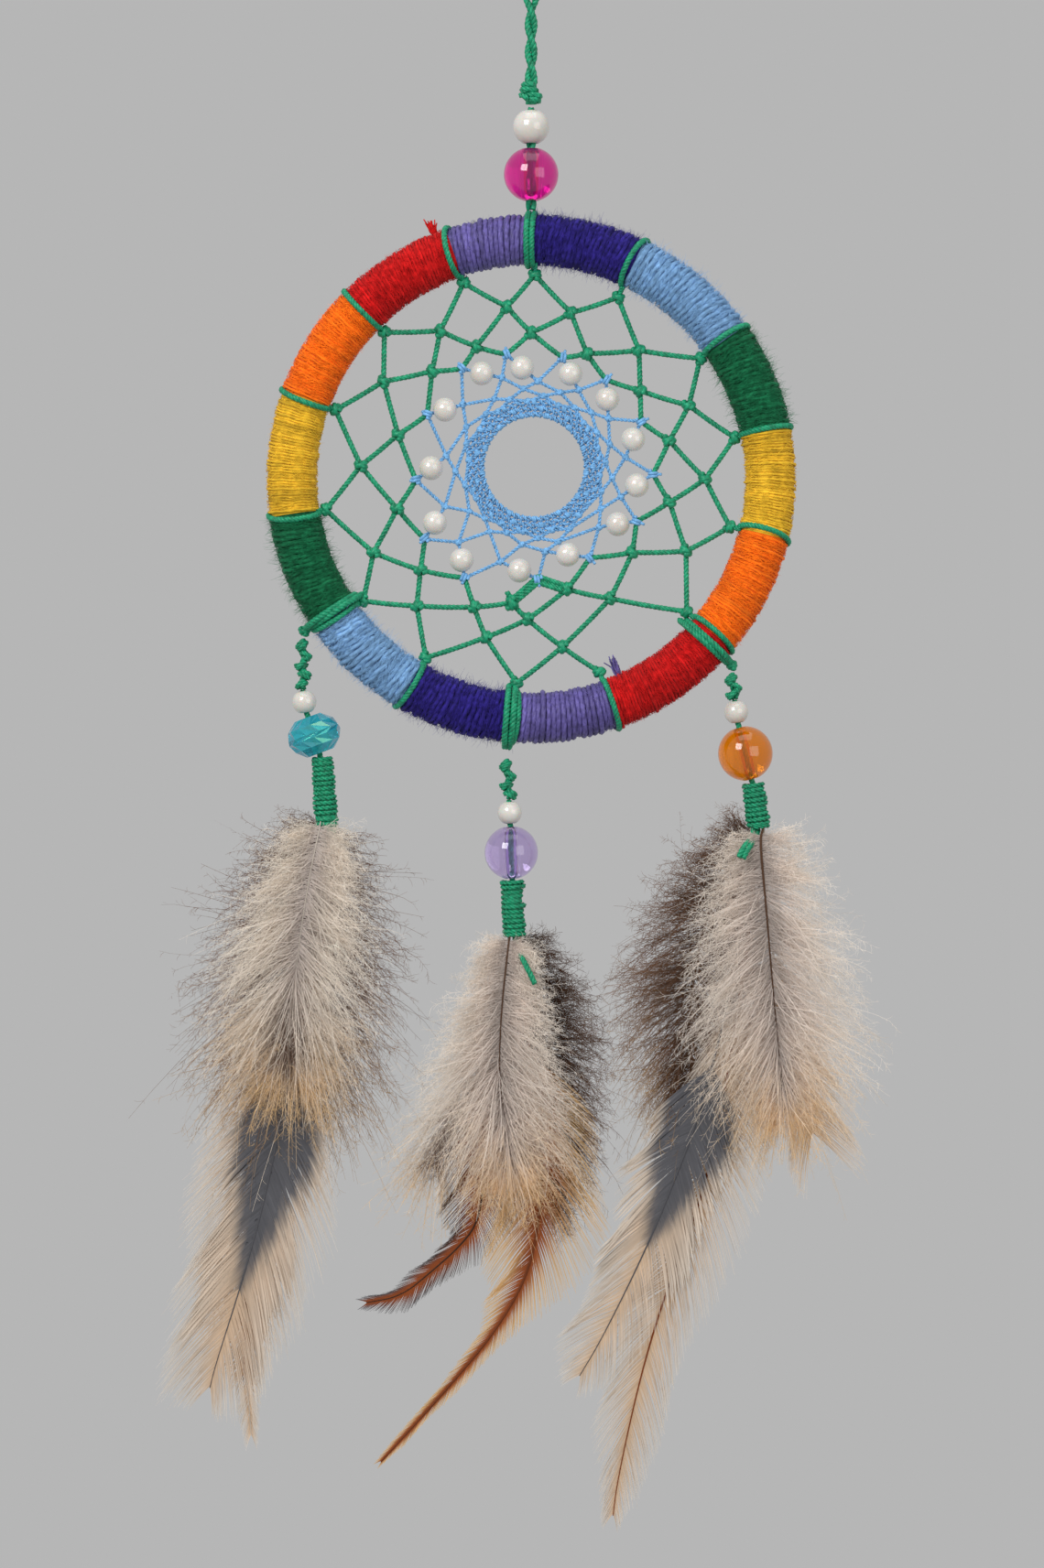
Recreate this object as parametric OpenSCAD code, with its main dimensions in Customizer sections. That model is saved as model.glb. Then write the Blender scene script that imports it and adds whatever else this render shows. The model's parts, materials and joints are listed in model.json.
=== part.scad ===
// Dream catcher: a wound hoop with a knotted web, hung on a cord, with three feather pendants.
// The origin is where a nail bears on the inside of the hanging loop.
// +Z is up, and the hoop lies in the XZ plane.

/* [Hoop] */
// Diameter of the hoop, between the middles of its ring
hoop_d = 78.4; // [76:0.2:80]
// Diameter of the stiff ring inside the yarn
core_d = 5; // [4.4:0.1:5.2]
// Outer diameter over the wound yarn
yarn_d = 8.2; // [7.6:0.1:8.4]

/* [Cord and thread] */
// Diameter of the green cord
cord_d = 1; // [0.8:0.05:1]
// Diameter of the blue thread
thread_d = 0.65; // [0.5:0.05:0.7]

/* [Beads] */
// Diameter of the round beads
bead_d = 9; // [8.4:0.1:9.1]
// Diameter of the pearl at the top
top_pearl_d = 6; // [5.4:0.1:6.1]
// Diameter of the small pearls
pearl_d = 4; // [3.4:0.1:4]

/* [Hidden] */

cord_green = [0.05, 0.55, 0.36];
thread_blue = [0.4, 0.66, 0.9];
pearl_white = [0.94, 0.93, 0.9];
cream = [0.8, 0.72, 0.62];
brown = [0.36, 0.28, 0.23];
rust = [0.5, 0.22, 0.1];

hoop_r = hoop_d / 2;
yarn_r = yarn_d / 2;
core_r = core_d / 2;
cord_r = cord_d / 2;
thread_r = thread_d / 2;
// Height of the hoop's top, in the middle of its ring, and of its centre
hoop_top_z = -54.3;
hoop_z = hoop_top_z - hoop_r;
// Heights of the pieces above the hoop: the knot's two lumps, the cord's top under it, and the two beads
knot_lump_r = 1.5;
knot_lump_x = 0.25;
upper_lump_z = -29.7;
lower_lump_z = -31;
top_cord_z = -32.6;
top_pearl_z = -35.8;
pink_bead_z = -43.6;
// The cord under the knot is doubled, and ends just above the hitch
top_cord_r = 0.9;
top_cord_end = 4.75;
top_pearl_bore_r = 1.1;
pink_bead_bore_r = 1.25;
// Slack between a winding and the ring in it
fit_gap = 0.05;
// Slack between a hitch and the windings beside it
hitch_gap = 0.1;
// Slack of a pearl's bore on the blue thread and on the green cord, and between knots that move apart
thread_slack = 0.15;
cord_slack = 0.25;
knot_slack = 0.15;
// A hitch is a band of cord round the rim, a little proud of the yarn
hitch_r = yarn_r + 0.3;
hitch_w = 1.1;
double_hitch_w = 2.2;
knot_r = 1.25;
first_knot_r = 0.95;
web_knot_r = 0.9;
blue_knot_r = 0.55;

// Where each hitch sits on the rim, in degrees clockwise from the top
hitch_at = [0, 25.5, 54.5, 78.5, 103.5, 130.5, 160.5, 184, 210.5, 235, 261.5, 289.5, 315, 341];
// The hitches that carry the three pendants are doubled
pendant_hitches = [5, 7, 9];

// Knots of the web, as [degrees clockwise from the top, distance from the middle]
rim_knots = [
    [1, 33.5], [25.5, 33], [54.5, 34], [78.5, 34], [103.5, 33.5], [130.5, 33.5], [160.5, 33.5],
    [184, 33.5], [210.5, 34], [234, 34], [261.5, 34], [289.5, 34], [315, 34], [341, 34]
];
outer_knots = [
    [13.5, 28], [40, 27.5], [65, 28.5], [90, 28.5], [115, 28], [146.5, 23.5], [169.5, 28],
    [196, 27], [222, 28], [245, 28.5], [274.5, 28], [303.5, 29], [328.5, 28.5], [352, 28.5]
];
inner_knots = [
    [24, 22.5], [51, 23], [74.5, 23.5], [99.5, 23], [126, 20.5], [162, 19], [181.5, 23],
    [204, 23], [230.5, 23.5], [257.5, 22.5], [288.5, 23], [317.5, 24], [337.5, 23.5], [0, 24]
];
// The end knot, where the green cord is tied off and cut
end_knot = [189, 20.5];

// The blue net has a middle of its own, a little off the hoop's
net_x = 0.5;
net_up = 2;
// Where the blue thread is tied to the green cord, and the knots that close its loops
tie_knots = [
    [14.5, 18.5], [39.5, 18.5], [67, 19], [93.5, 19.5], [118, 19], [148.5, 17.5], [178, 18.5],
    [212, 21.5], [236.5, 21.5], [263.5, 19.5], [296, 19.5], [323.5, 20], [346, 19]
];
loop_knots = [
    [2.5, 14], [30, 14.5], [57, 14.5], [84, 15], [109, 15], [133, 14.5], [172.5, 14], [199.5, 16.5],
    [225, 17.5], [246, 16], [277, 14.5], [311, 15.5], [340, 15.5]
];
ties = len(tie_knots);
// Each inner round is turned back by this angle and drawn in to this radius
round_turn = 13;
second_round_r = 11.5;
braid_in_r = 8;
braid_out_r = 11.2;
braid_t = 1.3;

// Each pendant hangs from a point just outside the rim
left_pivot = [-37.2, 0, -118.4];
middle_pivot = [-4, 0, -138.1];
right_pivot = [32.8, 0, -124];

// Middle line of each pendant's cord, from its pivot: knots, pearl, bead, binding, tail
left_route = [[0, 0, 0], [-0.2, 0, -9.8], [0.3, 0, -13.5], [3, 0, -20.7], [3.6, 0, -31], [3.8, -0.9, -34]];
middle_route = [
    [0, 0, 0], [0.4, 0, -8.1], [0.6, 0, -12.1], [0.9, 0, -21.2], [1.3, 0, -30.4],
    [1.6, -1.6, -32.2], [3, -5.2, -34.6], [4.6, -5.4, -38]
];
right_route = [
    [0, 0, 0], [0.6, 0, -5.8], [1, 0, -9.6], [3.6, 0, -19.4], [4.5, 0, -26.8],
    [4, -1.6, -28.4], [2.4, -5.2, -30.4], [1.8, -5.4, -31.6]
];
// Length of the cut bead, what the violet bead lacks of the others' diameter, and the bore of the three
teal_bead_h = 6.2;
violet_bead_less = 0.2;
side_bead_bore_r = 0.9;
quill_r = 0.35;
// Length of quill held in the binding, and length of quill let into the vane
quill_grip = 6;
quill_inlet = 3;
binding_bore_r = 1.32;
binding_r = 1.95;
// Distance of the quills from the middle of the binding
quill_ring = cord_r + quill_r + 0.07;
vane_t = 0.8;
down_t = 2.6;
// Layers of a tuft, from the front to the back
front_y = -3.4;
back_y = 3.4;
layer_y = 1.15;

// Centre line of one half of the hanging loop, from the top down
loop_half = [
    [0, 0, 0.5], [1.3, 0, 0.1], [2.4, 0, -1.2], [3, 0, -3.2], [3.1, 0, -5.6], [2.8, 0, -8],
    [2.2, 0, -10.4], [1.5, 0, -12.6], [0.8, 0, -14.6], [0.52, 0, -16.8], [0.52, 0, -19.2],
    [0.52, 0, -21.6], [0.52, 0, -24], [0.52, 0, -26.4], [0.52, 0, -28.6]
];

function on_hoop(p, mid = [0, 0, hoop_z]) = mid + [p[1] * sin(p[0]), 0, p[1] * cos(p[0])];
function in_net(p) = on_hoop(p, [net_x, 0, hoop_z + net_up]);
function unit(v) = v / norm(v);
function between(a, b, t) = a + (b - a) * t;
function last_of(v) = len(v) - 1;

// Direction of a route at point i
function heading(route, i) =
    unit(route[min(i + 1, last_of(route))] - route[max(i - 1, 0)]);

// One ring of points round a route, square to it
function tube_ring(centre, dir, r, sides) =
    let (side = unit([0, 1, 0] - dir * dir[1]), up = cross(dir, side))
    [for (k = [0:sides - 1]) centre + r * (side * cos(360 * k / sides) + up * sin(360 * k / sides))];

// A round cord along a route
module cord_tube(route, r, sides = 8) {
    rings = len(route);
    points = [for (i = [0:rings - 1]) each tube_ring(route[i], heading(route, i), r, sides)];
    walls = [
        for (i = [0:rings - 2]) for (k = [0:sides - 1])
            let (n = (k + 1) % sides)
            each [
                [i * sides + k, (i + 1) * sides + k, i * sides + n],
                [i * sides + n, (i + 1) * sides + k, (i + 1) * sides + n]
            ]
    ];
    start_cap = [for (k = [0:sides - 1]) k];
    end_cap = [for (k = [0:sides - 1]) rings * sides - 1 - k];
    polyhedron(points, concat(walls, [start_cap, end_cap]));
}

// A straight round bar from a to b
module rod(a, b, r) {
    v = b - a;
    translate(a)
        rotate([0, acos(v[2] / norm(v)), atan2(v[1], v[0])])
            cylinder(h = norm(v), r = r, $fn = 24);
}

// A part whose own axis is +Z, put at the middle of a to b and turned along it
module along(a, b) {
    v = a - b;
    translate((a + b) / 2)
        rotate([0, acos(v[2] / norm(v)), atan2(v[1], v[0])])
            children();
}

module ball(at, r) {
    translate(at) sphere(r = r, $fn = 32);
}

// A round bead with its bore along +Z
module round_bead(d, bore_r) {
    difference() {
        sphere(d = d, $fn = 64);
        cylinder(h = 2 * d, r = bore_r, center = true, $fn = 32);
    }
}

// A cut bead, widest at its middle, with flat ends
module cut_bead(d, h, bore_r) {
    end_r = d * 0.27;
    belt = h * 0.12;
    rotate_extrude($fn = 64)
        polygon([
            [bore_r, -h / 2], [end_r, -h / 2], [d * 0.44, -h * 0.28], [d / 2, -belt],
            [d / 2, belt], [d * 0.44, h * 0.28], [end_r, h / 2], [bore_r, h / 2]
        ]);
}

// Width of the band at hitch i
function band_w(i) = i == 0 || len(search(i, pendant_hitches)) > 0 ? double_hitch_w : hitch_w;
// Half the angle that a band takes up on the inside of the rim, where there is least room
function band_half_angle(i) = asin((band_w(i) / 2 + hitch_gap) / (hoop_r - yarn_r));

module hitch_band(i) {
    a = hitch_at[i];
    translate(on_hoop([a, hoop_r]))
        rotate([0, 90 + a, 0])
            difference() {
                cylinder(h = band_w(i), r = hitch_r, center = true, $fn = 48);
                cylinder(h = 2 * band_w(i), r = core_r + fit_gap, center = true, $fn = 48);
            }
}

// Yarn wound on the ring from hitch i to the next one
module yarn_wrap(i) {
    next = (i + 1) % len(hitch_at);
    a0 = hitch_at[i] + band_half_angle(i);
    a1 = hitch_at[next] + (next == 0 ? 360 : 0) - band_half_angle(next);
    translate([0, 0, hoop_z])
        rotate([90, 0, 0])
            rotate([0, 0, 90 - a1])
                rotate_extrude(angle = a1 - a0, $fn = 96)
                    translate([hoop_r, 0])
                        difference() {
                            circle(r = yarn_r, $fn = 48);
                            circle(r = core_r + fit_gap, $fn = 48);
                        }
}

module hanging_loop() {
    right_side = [for (i = [last_of(loop_half):-1:0]) loop_half[i]];
    left_side = [for (i = [1:last_of(loop_half)]) [-loop_half[i][0], 0, loop_half[i][2]]];
    color(cord_green) cord_tube(concat(right_side, left_side), cord_r);
}

module top_knot() {
    color(cord_green) {
        ball([-knot_lump_x, 0, upper_lump_z], knot_lump_r);
        ball([knot_lump_x, 0, lower_lump_z], knot_lump_r);
    }
}

module top_cord() {
    color(cord_green) rod([0, 0, top_cord_z], [0, 0, hoop_top_z + top_cord_end], top_cord_r);
}

module top_pearl() {
    color(pearl_white) translate([0, 0, top_pearl_z]) round_bead(top_pearl_d, top_pearl_bore_r);
}

module pink_bead() {
    color([0.9, 0.1, 0.5]) translate([0, 0, pink_bead_z]) round_bead(bead_d, pink_bead_bore_r);
}

module top_hitch() {
    color(cord_green) hitch_band(0);
}

module hoop_core() {
    color("tan")
        translate([0, 0, hoop_z])
            rotate([90, 0, 0])
                rotate_extrude($fn = 96)
                    translate([hoop_r, 0])
                        circle(r = core_r, $fn = 48);
}

module wrap_indigo_top() { color([0.14, 0.08, 0.48]) yarn_wrap(0); }
module wrap_light_blue_top() { color([0.5, 0.68, 0.86]) yarn_wrap(1); }
module wrap_green_right() { color([0, 0.42, 0.22]) yarn_wrap(2); }
module wrap_yellow_right() { color([0.87, 0.72, 0.18]) yarn_wrap(3); }
module wrap_orange_right() { color([1, 0.45, 0.05]) yarn_wrap(4); }
module wrap_red_bottom() { color([0.85, 0.05, 0.04]) yarn_wrap(5); }
module wrap_violet_bottom() { color([0.4, 0.35, 0.65]) yarn_wrap(6); }
module wrap_indigo_bottom() { color([0.14, 0.08, 0.48]) yarn_wrap(7); }
module wrap_light_blue_bottom() { color([0.5, 0.68, 0.86]) yarn_wrap(8); }
module wrap_green_left() { color([0, 0.42, 0.22]) yarn_wrap(9); }
module wrap_yellow_left() { color([0.87, 0.72, 0.18]) yarn_wrap(10); }
module wrap_orange_left() { color([1, 0.45, 0.05]) yarn_wrap(11); }
module wrap_red_top() { color([0.85, 0.05, 0.04]) yarn_wrap(12); }
module wrap_violet_top() { color([0.4, 0.35, 0.65]) yarn_wrap(13); }

module rim_hitches() {
    color(cord_green)
        for (i = [1:last_of(hitch_at)]) hitch_band(i);
}

// A six-sided length of cord from a to b, for the many short lengths of a net
module net_rod(a, b, r) {
    v = b - a;
    hull()
        translate(a)
            rotate([0, acos(v[2] / norm(v)), atan2(v[1], v[0])])
                cylinder(h = norm(v), r = r, $fn = 6);
}

module net_knot(at, r) {
    translate(at) sphere(r = r, $fn = 6);
}

// A row of cord from knot to knot, with a knot at each point
module knotted_row(points, r, knot) {
    for (i = [0:last_of(points) - 1]) net_rod(points[i], points[i + 1], r);
    for (p = points) net_knot(p, knot);
}

// The green cord runs in one spiral of three rounds. The outer round misses one rim knot, where it turns in.
module web_cord() {
    n = len(rim_knots);
    outer_row = [
        for (i = [6:n - 1]) each [on_hoop(rim_knots[i]), on_hoop(outer_knots[i])],
        for (i = [0:5]) each [on_hoop(rim_knots[i]), on_hoop(outer_knots[i])]
    ];
    second_row = [
        for (i = [6:n - 1]) each [on_hoop(outer_knots[i]), on_hoop(inner_knots[i])],
        for (i = [0:5]) each [on_hoop(outer_knots[i]), on_hoop(inner_knots[i])]
    ];
    third_row = [
        on_hoop(inner_knots[6]), on_hoop(end_knot),
        for (i = [7:n - 2]) each [on_hoop(inner_knots[i]), in_net(tie_knots[i])],
        on_hoop(inner_knots[n - 1]), in_net(tie_knots[0]),
        for (i = [0:5]) each [on_hoop(inner_knots[i]), in_net(tie_knots[i + 1])],
        on_hoop(end_knot)
    ];
    color(cord_green)
        knotted_row(concat(outer_row, second_row, third_row), cord_r, web_knot_r);
}

module blue_web() {
    color(thread_blue) {
        for (i = [0:ties - 1]) {
            before = (i + ties - 1) % ties;
            knot = in_net(loop_knots[i]);
            inner = in_net([loop_knots[i][0] - round_turn, second_round_r]);
            net_rod(in_net(tie_knots[i]), knot, thread_r);
            net_rod(knot, in_net(tie_knots[before]), thread_r);
            net_rod(knot, inner, thread_r);
            net_rod(inner, in_net(loop_knots[before]), thread_r);
            net_knot(knot, blue_knot_r);
        }
        translate(in_net([0, 0]))
            rotate([90, 0, 0])
                difference() {
                    cylinder(h = braid_t, r = braid_out_r, center = true, $fn = 52);
                    cylinder(h = 2 * braid_t, r = braid_in_r, center = true, $fn = 52);
                }
    }
}

// One pearl on each of the blue loops, half-way between its knot and its tie
module web_pearls() {
    color(pearl_white)
        for (i = [0:ties - 1])
            along(in_net(loop_knots[i]), in_net(tie_knots[(i + ties - 1) % ties]))
                round_bead(pearl_d, thread_r + thread_slack);
}

// The first knot of a pendant, which the pendant swings about
module first_knot(pivot) {
    color(cord_green) ball(pivot, first_knot_r);
}

// A run of knots down the cord. The first one stays clear of the knot above it, and the last of the pearl.
module knot_run(pivot, route, count) {
    top = first_knot_r + knot_r + knot_slack;
    length = norm(route[1]) - pearl_top_gap() - top;
    color(cord_green)
        for (i = [0:count - 1])
            ball(pivot + unit(route[1]) * (top + length * i / (count - 1)), knot_r);
}

// Distance from the middle of the last knot to the end of the run
function pearl_top_gap() = knot_r + cord_slack;

// The cord from the last knot to the end of its tail, with rings close together
module pendant_cord(pivot, route) {
    steps = 4;
    path = [
        for (i = [1:last_of(route) - 1])
            for (k = [0:steps - 1])
                pivot + between(route[i], route[i + 1], k / steps)
    ];
    color(cord_green) cord_tube(concat(path, [pivot + route[last_of(route)]]), cord_r);
}

module threaded_pearl(pivot, route) {
    color(pearl_white)
        along(pivot + route[1], pivot + route[2])
            round_bead(pearl_d, cord_r + cord_slack);
}

// The thread wound round the cord and the quills. It hides their upper ends.
module binding(pivot, route) {
    a = pivot + route[3];
    b = pivot + route[4];
    color(cord_green)
        along(a, b)
            difference() {
                cylinder(h = norm(b - a), r = binding_r, center = true, $fn = 48);
                cylinder(h = 2 * norm(b - a), r = binding_bore_r, center = true, $fn = 48);
            }
}

// The outline of a vane: the half widths w are set off on both sides of the rachis
function flat(p) = [p[0], p[2]];
function vane_side(rachis, w, side) = [
    for (i = [0:last_of(rachis)])
        let (t = heading(rachis, i))
        flat(rachis[i]) + side * w[i] * [-t[2], t[0]]
];
function reversed(v) = [for (i = [last_of(v):-1:0]) v[i]];

// A feather: a flat vane along its rachis, and a quill that runs up into the binding.
// The rachis is measured from the lower end of the binding, and seat is the quill's place round the cord.
module feather(pivot, route, rachis, w, thick, layer, seat, tone) {
    foot = pivot + route[4];
    axis = unit(route[3] - route[4]);
    mouth = foot + quill_ring * [cos(seat), sin(seat), 0];
    points = [for (p = rachis) [foot[0] + p[0], 0, foot[2] + p[1]]];
    root = [points[0][0], layer, points[0][2]];
    inside = root + unit(points[1] - points[0]) * quill_inlet;
    color(tone) {
        translate([0, layer + thick / 2, 0])
            rotate([90, 0, 0])
                linear_extrude(thick)
                    polygon(concat(vane_side(points, w, 1), reversed(vane_side(points, w, -1))));
        cord_tube([mouth + axis * quill_grip, mouth, root, inside], quill_r);
    }
}

module left_first_knot() { first_knot(left_pivot); }
module left_knots() { knot_run(left_pivot, left_route, 4); }
module left_cord() { pendant_cord(left_pivot, left_route); }
module left_pearl() { threaded_pearl(left_pivot, left_route); }
module teal_bead() {
    color([0.1, 0.6, 0.65])
        along(left_pivot + left_route[2], left_pivot + left_route[3])
            cut_bead(bead_d, teal_bead_h, side_bead_bore_r);
}
module left_binding() { binding(left_pivot, left_route); }
module left_cream_down() {
    feather(left_pivot, left_route,
        [[-1, -3], [-3, -11], [-4.8, -24], [-5.6, -36], [-6, -48]], [2, 13, 16, 14, 4],
        down_t, front_y, 210, cream);
}
module left_brown_down() {
    feather(left_pivot, left_route,
        [[-1, -2.5], [-2.6, -11], [-4.6, -24], [-5.4, -36], [-6, -50]], [2, 12, 16.5, 15, 4],
        down_t, back_y, 90, brown);
}
module left_slate_feather() {
    feather(left_pivot, left_route,
        [[-2.4, -14], [-6, -42], [-9.5, -60], [-13.5, -75], [-18, -89], [-19, -93]], [1, 9, 7, 8, 3, 1],
        vane_t, -layer_y, 150, cream);
}
module left_peach_feather() {
    feather(left_pivot, left_route,
        [[1.4, -14], [-6, -40], [-10.5, -56], [-13, -74], [-13.4, -88], [-13.6, -91]], [1, 7, 9, 7, 3, 1],
        vane_t, 0, 30, [0.8, 0.6, 0.42]);
}
module left_slim_feather() {
    feather(left_pivot, left_route,
        [[0.4, -14], [-8.5, -46], [-13, -84], [-13, -92], [-12.3, -102]], [1, 4, 4, 3, 0.8],
        vane_t, layer_y, 330, cream);
}

module middle_knots() { knot_run(middle_pivot, middle_route, 3); }
module middle_cord() { pendant_cord(middle_pivot, middle_route); }
module middle_pearl() { threaded_pearl(middle_pivot, middle_route); }
module violet_bead() {
    color([0.72, 0.62, 0.86])
        along(middle_pivot + middle_route[2], middle_pivot + middle_route[3])
            round_bead(bead_d - violet_bead_less, side_bead_bore_r);
}
module middle_binding() { binding(middle_pivot, middle_route); }
module middle_cream_down() {
    feather(middle_pivot, middle_route,
        [[-1, -2], [-2.2, -14], [-2.4, -28], [-0.6, -40], [0, -48]], [2, 10, 12.5, 11, 4],
        down_t, front_y, 210, cream);
}
module middle_brown_down() {
    feather(middle_pivot, middle_route,
        [[1, -2], [4.5, -9], [6.5, -22], [6.8, -36], [6, -42]], [2, 7, 8, 7, 3],
        down_t, back_y, 90, brown);
}
module middle_wispy_feather() {
    feather(middle_pivot, middle_route,
        [[-1.6, -8], [-6, -18], [-10, -28], [-13.5, -37]], [0.8, 4, 5.5, 3],
        vane_t, layer_y, 150, cream);
}
module middle_long_rust_feather() {
    feather(middle_pivot, middle_route,
        [
            [1.4, -12], [4.5, -32], [4.4, -44], [2.4, -55], [-3, -64.5], [-11, -74], [-21.9, -86.2]
        ],
        [1.2, 4, 5.5, 4, 2.4, 1.6, 0.6],
        vane_t, -layer_y, 330, rust);
}
module middle_short_rust_feather() {
    feather(middle_pivot, middle_route,
        [
            [-0.4, -12], [-3.6, -26], [-5, -40], [-6, -47], [-9.2, -51], [-13.5, -54.8],
            [-18.6, -59], [-24.3, -60]
        ],
        [1, 4, 3.4, 3, 2.6, 2.4, 2, 0.8],
        vane_t, 0, 30, rust);
}

module right_first_knot() { first_knot(right_pivot); }
module right_knots() { knot_run(right_pivot, right_route, 2); }
module right_cord() { pendant_cord(right_pivot, right_route); }
module right_pearl() { threaded_pearl(right_pivot, right_route); }
module orange_bead() {
    color([1, 0.55, 0.08])
        along(right_pivot + right_route[2], right_pivot + right_route[3])
            round_bead(bead_d, side_bead_bore_r);
}
module right_binding() { binding(right_pivot, right_route); }
module right_brown_down() {
    feather(right_pivot, right_route,
        [[-1.6, -2], [-8, -12], [-11, -26], [-11.5, -38], [-9.5, -48]], [2, 9, 10.5, 9, 3],
        down_t, back_y, 90, brown);
}
module right_cream_down() {
    feather(right_pivot, right_route,
        [[0, -3], [1, -12], [2, -24], [3, -36], [4, -46]], [2, 10, 13.5, 13, 5],
        down_t, front_y, 330, cream);
}
module right_slate_feather() {
    feather(right_pivot, right_route,
        [[-2, -14], [-8.6, -44], [-16, -63], [-20, -72], [-26, -84], [-29.4, -89.6]],
        [1, 8, 6, 5.5, 3, 1],
        vane_t, 0, 150, cream);
}
module right_long_feather() {
    feather(right_pivot, right_route,
        [
            [-1, -14], [-6.3, -48], [-10, -62.5], [-14, -72.5], [-17.5, -83], [-20.3, -93.5],
            [-23.2, -107], [-23.9, -113.2]
        ],
        [1, 5, 6, 6, 5.5, 4.6, 3, 0.8],
        vane_t, -layer_y, 210, cream);
}
module right_peach_feather() {
    feather(right_pivot, right_route,
        [[1.6, -14], [4, -34], [6.5, -42], [8.8, -50]], [1, 5, 5.5, 2],
        vane_t, layer_y, 30, [0.8, 0.58, 0.4]);
}

hanging_loop();
top_knot();
top_cord();
top_pearl();
pink_bead();
top_hitch();
hoop_core();
wrap_indigo_top();
wrap_light_blue_top();
wrap_green_right();
wrap_yellow_right();
wrap_orange_right();
wrap_red_bottom();
wrap_violet_bottom();
wrap_indigo_bottom();
wrap_light_blue_bottom();
wrap_green_left();
wrap_yellow_left();
wrap_orange_left();
wrap_red_top();
wrap_violet_top();
rim_hitches();
web_cord();
blue_web();
web_pearls();
left_first_knot();
left_knots();
left_cord();
left_pearl();
teal_bead();
left_binding();
left_cream_down();
left_brown_down();
left_slate_feather();
left_peach_feather();
left_slim_feather();
middle_knots();
middle_cord();
middle_pearl();
violet_bead();
middle_binding();
middle_cream_down();
middle_brown_down();
middle_wispy_feather();
middle_long_rust_feather();
middle_short_rust_feather();
right_first_knot();
right_knots();
right_cord();
right_pearl();
orange_bead();
right_binding();
right_brown_down();
right_cream_down();
right_slate_feather();
right_long_feather();
right_peach_feather();
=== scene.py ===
import json
import math

import bpy
import numpy as np
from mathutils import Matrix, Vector


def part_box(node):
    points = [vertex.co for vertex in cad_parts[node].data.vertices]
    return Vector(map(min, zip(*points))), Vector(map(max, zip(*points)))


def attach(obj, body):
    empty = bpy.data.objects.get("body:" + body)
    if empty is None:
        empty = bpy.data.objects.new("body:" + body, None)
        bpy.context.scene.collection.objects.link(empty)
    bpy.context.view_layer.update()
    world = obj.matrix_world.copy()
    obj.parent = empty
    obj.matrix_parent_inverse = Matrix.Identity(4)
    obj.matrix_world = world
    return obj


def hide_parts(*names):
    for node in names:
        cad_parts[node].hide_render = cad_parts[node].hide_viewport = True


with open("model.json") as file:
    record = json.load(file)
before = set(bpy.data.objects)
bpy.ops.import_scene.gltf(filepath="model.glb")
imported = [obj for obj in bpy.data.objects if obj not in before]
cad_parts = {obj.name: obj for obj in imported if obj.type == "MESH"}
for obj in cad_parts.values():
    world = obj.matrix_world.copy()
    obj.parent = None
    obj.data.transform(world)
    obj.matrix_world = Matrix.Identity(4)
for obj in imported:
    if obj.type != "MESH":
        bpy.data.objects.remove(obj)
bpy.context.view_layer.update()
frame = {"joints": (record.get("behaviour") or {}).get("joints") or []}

MM = 0.001
rng = np.random.default_rng(7)


# ---------------------------------------------------------------- colours and small sums

def linear(colour):
    """A screen colour as the linear colour that shaders take."""
    c = np.asarray(colour, float)
    return np.where(c <= 0.04045, c / 12.92, ((c + 0.055) / 1.055) ** 2.4)


def mid(node):
    low, high = (np.array(v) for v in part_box(node))
    return (low + high) / 2 / MM


def low_high(node):
    low, high = (np.array(v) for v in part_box(node))
    return low / MM, high / MM


def unit(v):
    return v / np.maximum(np.linalg.norm(v, axis=-1, keepdims=True), 1e-9)


def resample(points, step):
    """Points along a broken line, step apart."""
    p = np.asarray(points, float)
    d = np.r_[0, np.cumsum(np.linalg.norm(np.diff(p, axis=0), axis=1))]
    n = max(int(round(d[-1] / step)) + 1, 2)
    t = np.linspace(0, d[-1], n)
    return np.stack([np.interp(t, d, p[:, k]) for k in range(3)], axis=1)


def smooth_line(points, step, passes=2):
    """A smooth curve through a few points (corner cutting), sampled step apart."""
    p = np.asarray(points, float)
    for _ in range(passes):
        a, b = p[:-1], p[1:]
        cut = np.empty((2 * len(a), 3))
        cut[0::2] = a * 0.75 + b * 0.25
        cut[1::2] = a * 0.25 + b * 0.75
        p = np.vstack([p[:1], cut, p[-1:]])
    return resample(p, step)


def frames(path):
    """Tangents and two square directions carried along a path without twist."""
    t = unit(np.gradient(path, axis=0))
    start = np.array([0.0, 1.0, 0.0]) if abs(t[0][1]) < 0.9 else np.array([1.0, 0.0, 0.0])
    u = np.empty_like(t)
    u[0] = unit(start - t[0] * np.dot(start, t[0]))
    for i in range(1, len(t)):
        v = u[i - 1] - t[i] * np.dot(u[i - 1], t[i])
        u[i] = unit(v)
    return t, u, np.cross(t, u)


# ---------------------------------------------------------------- mesh building

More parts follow.
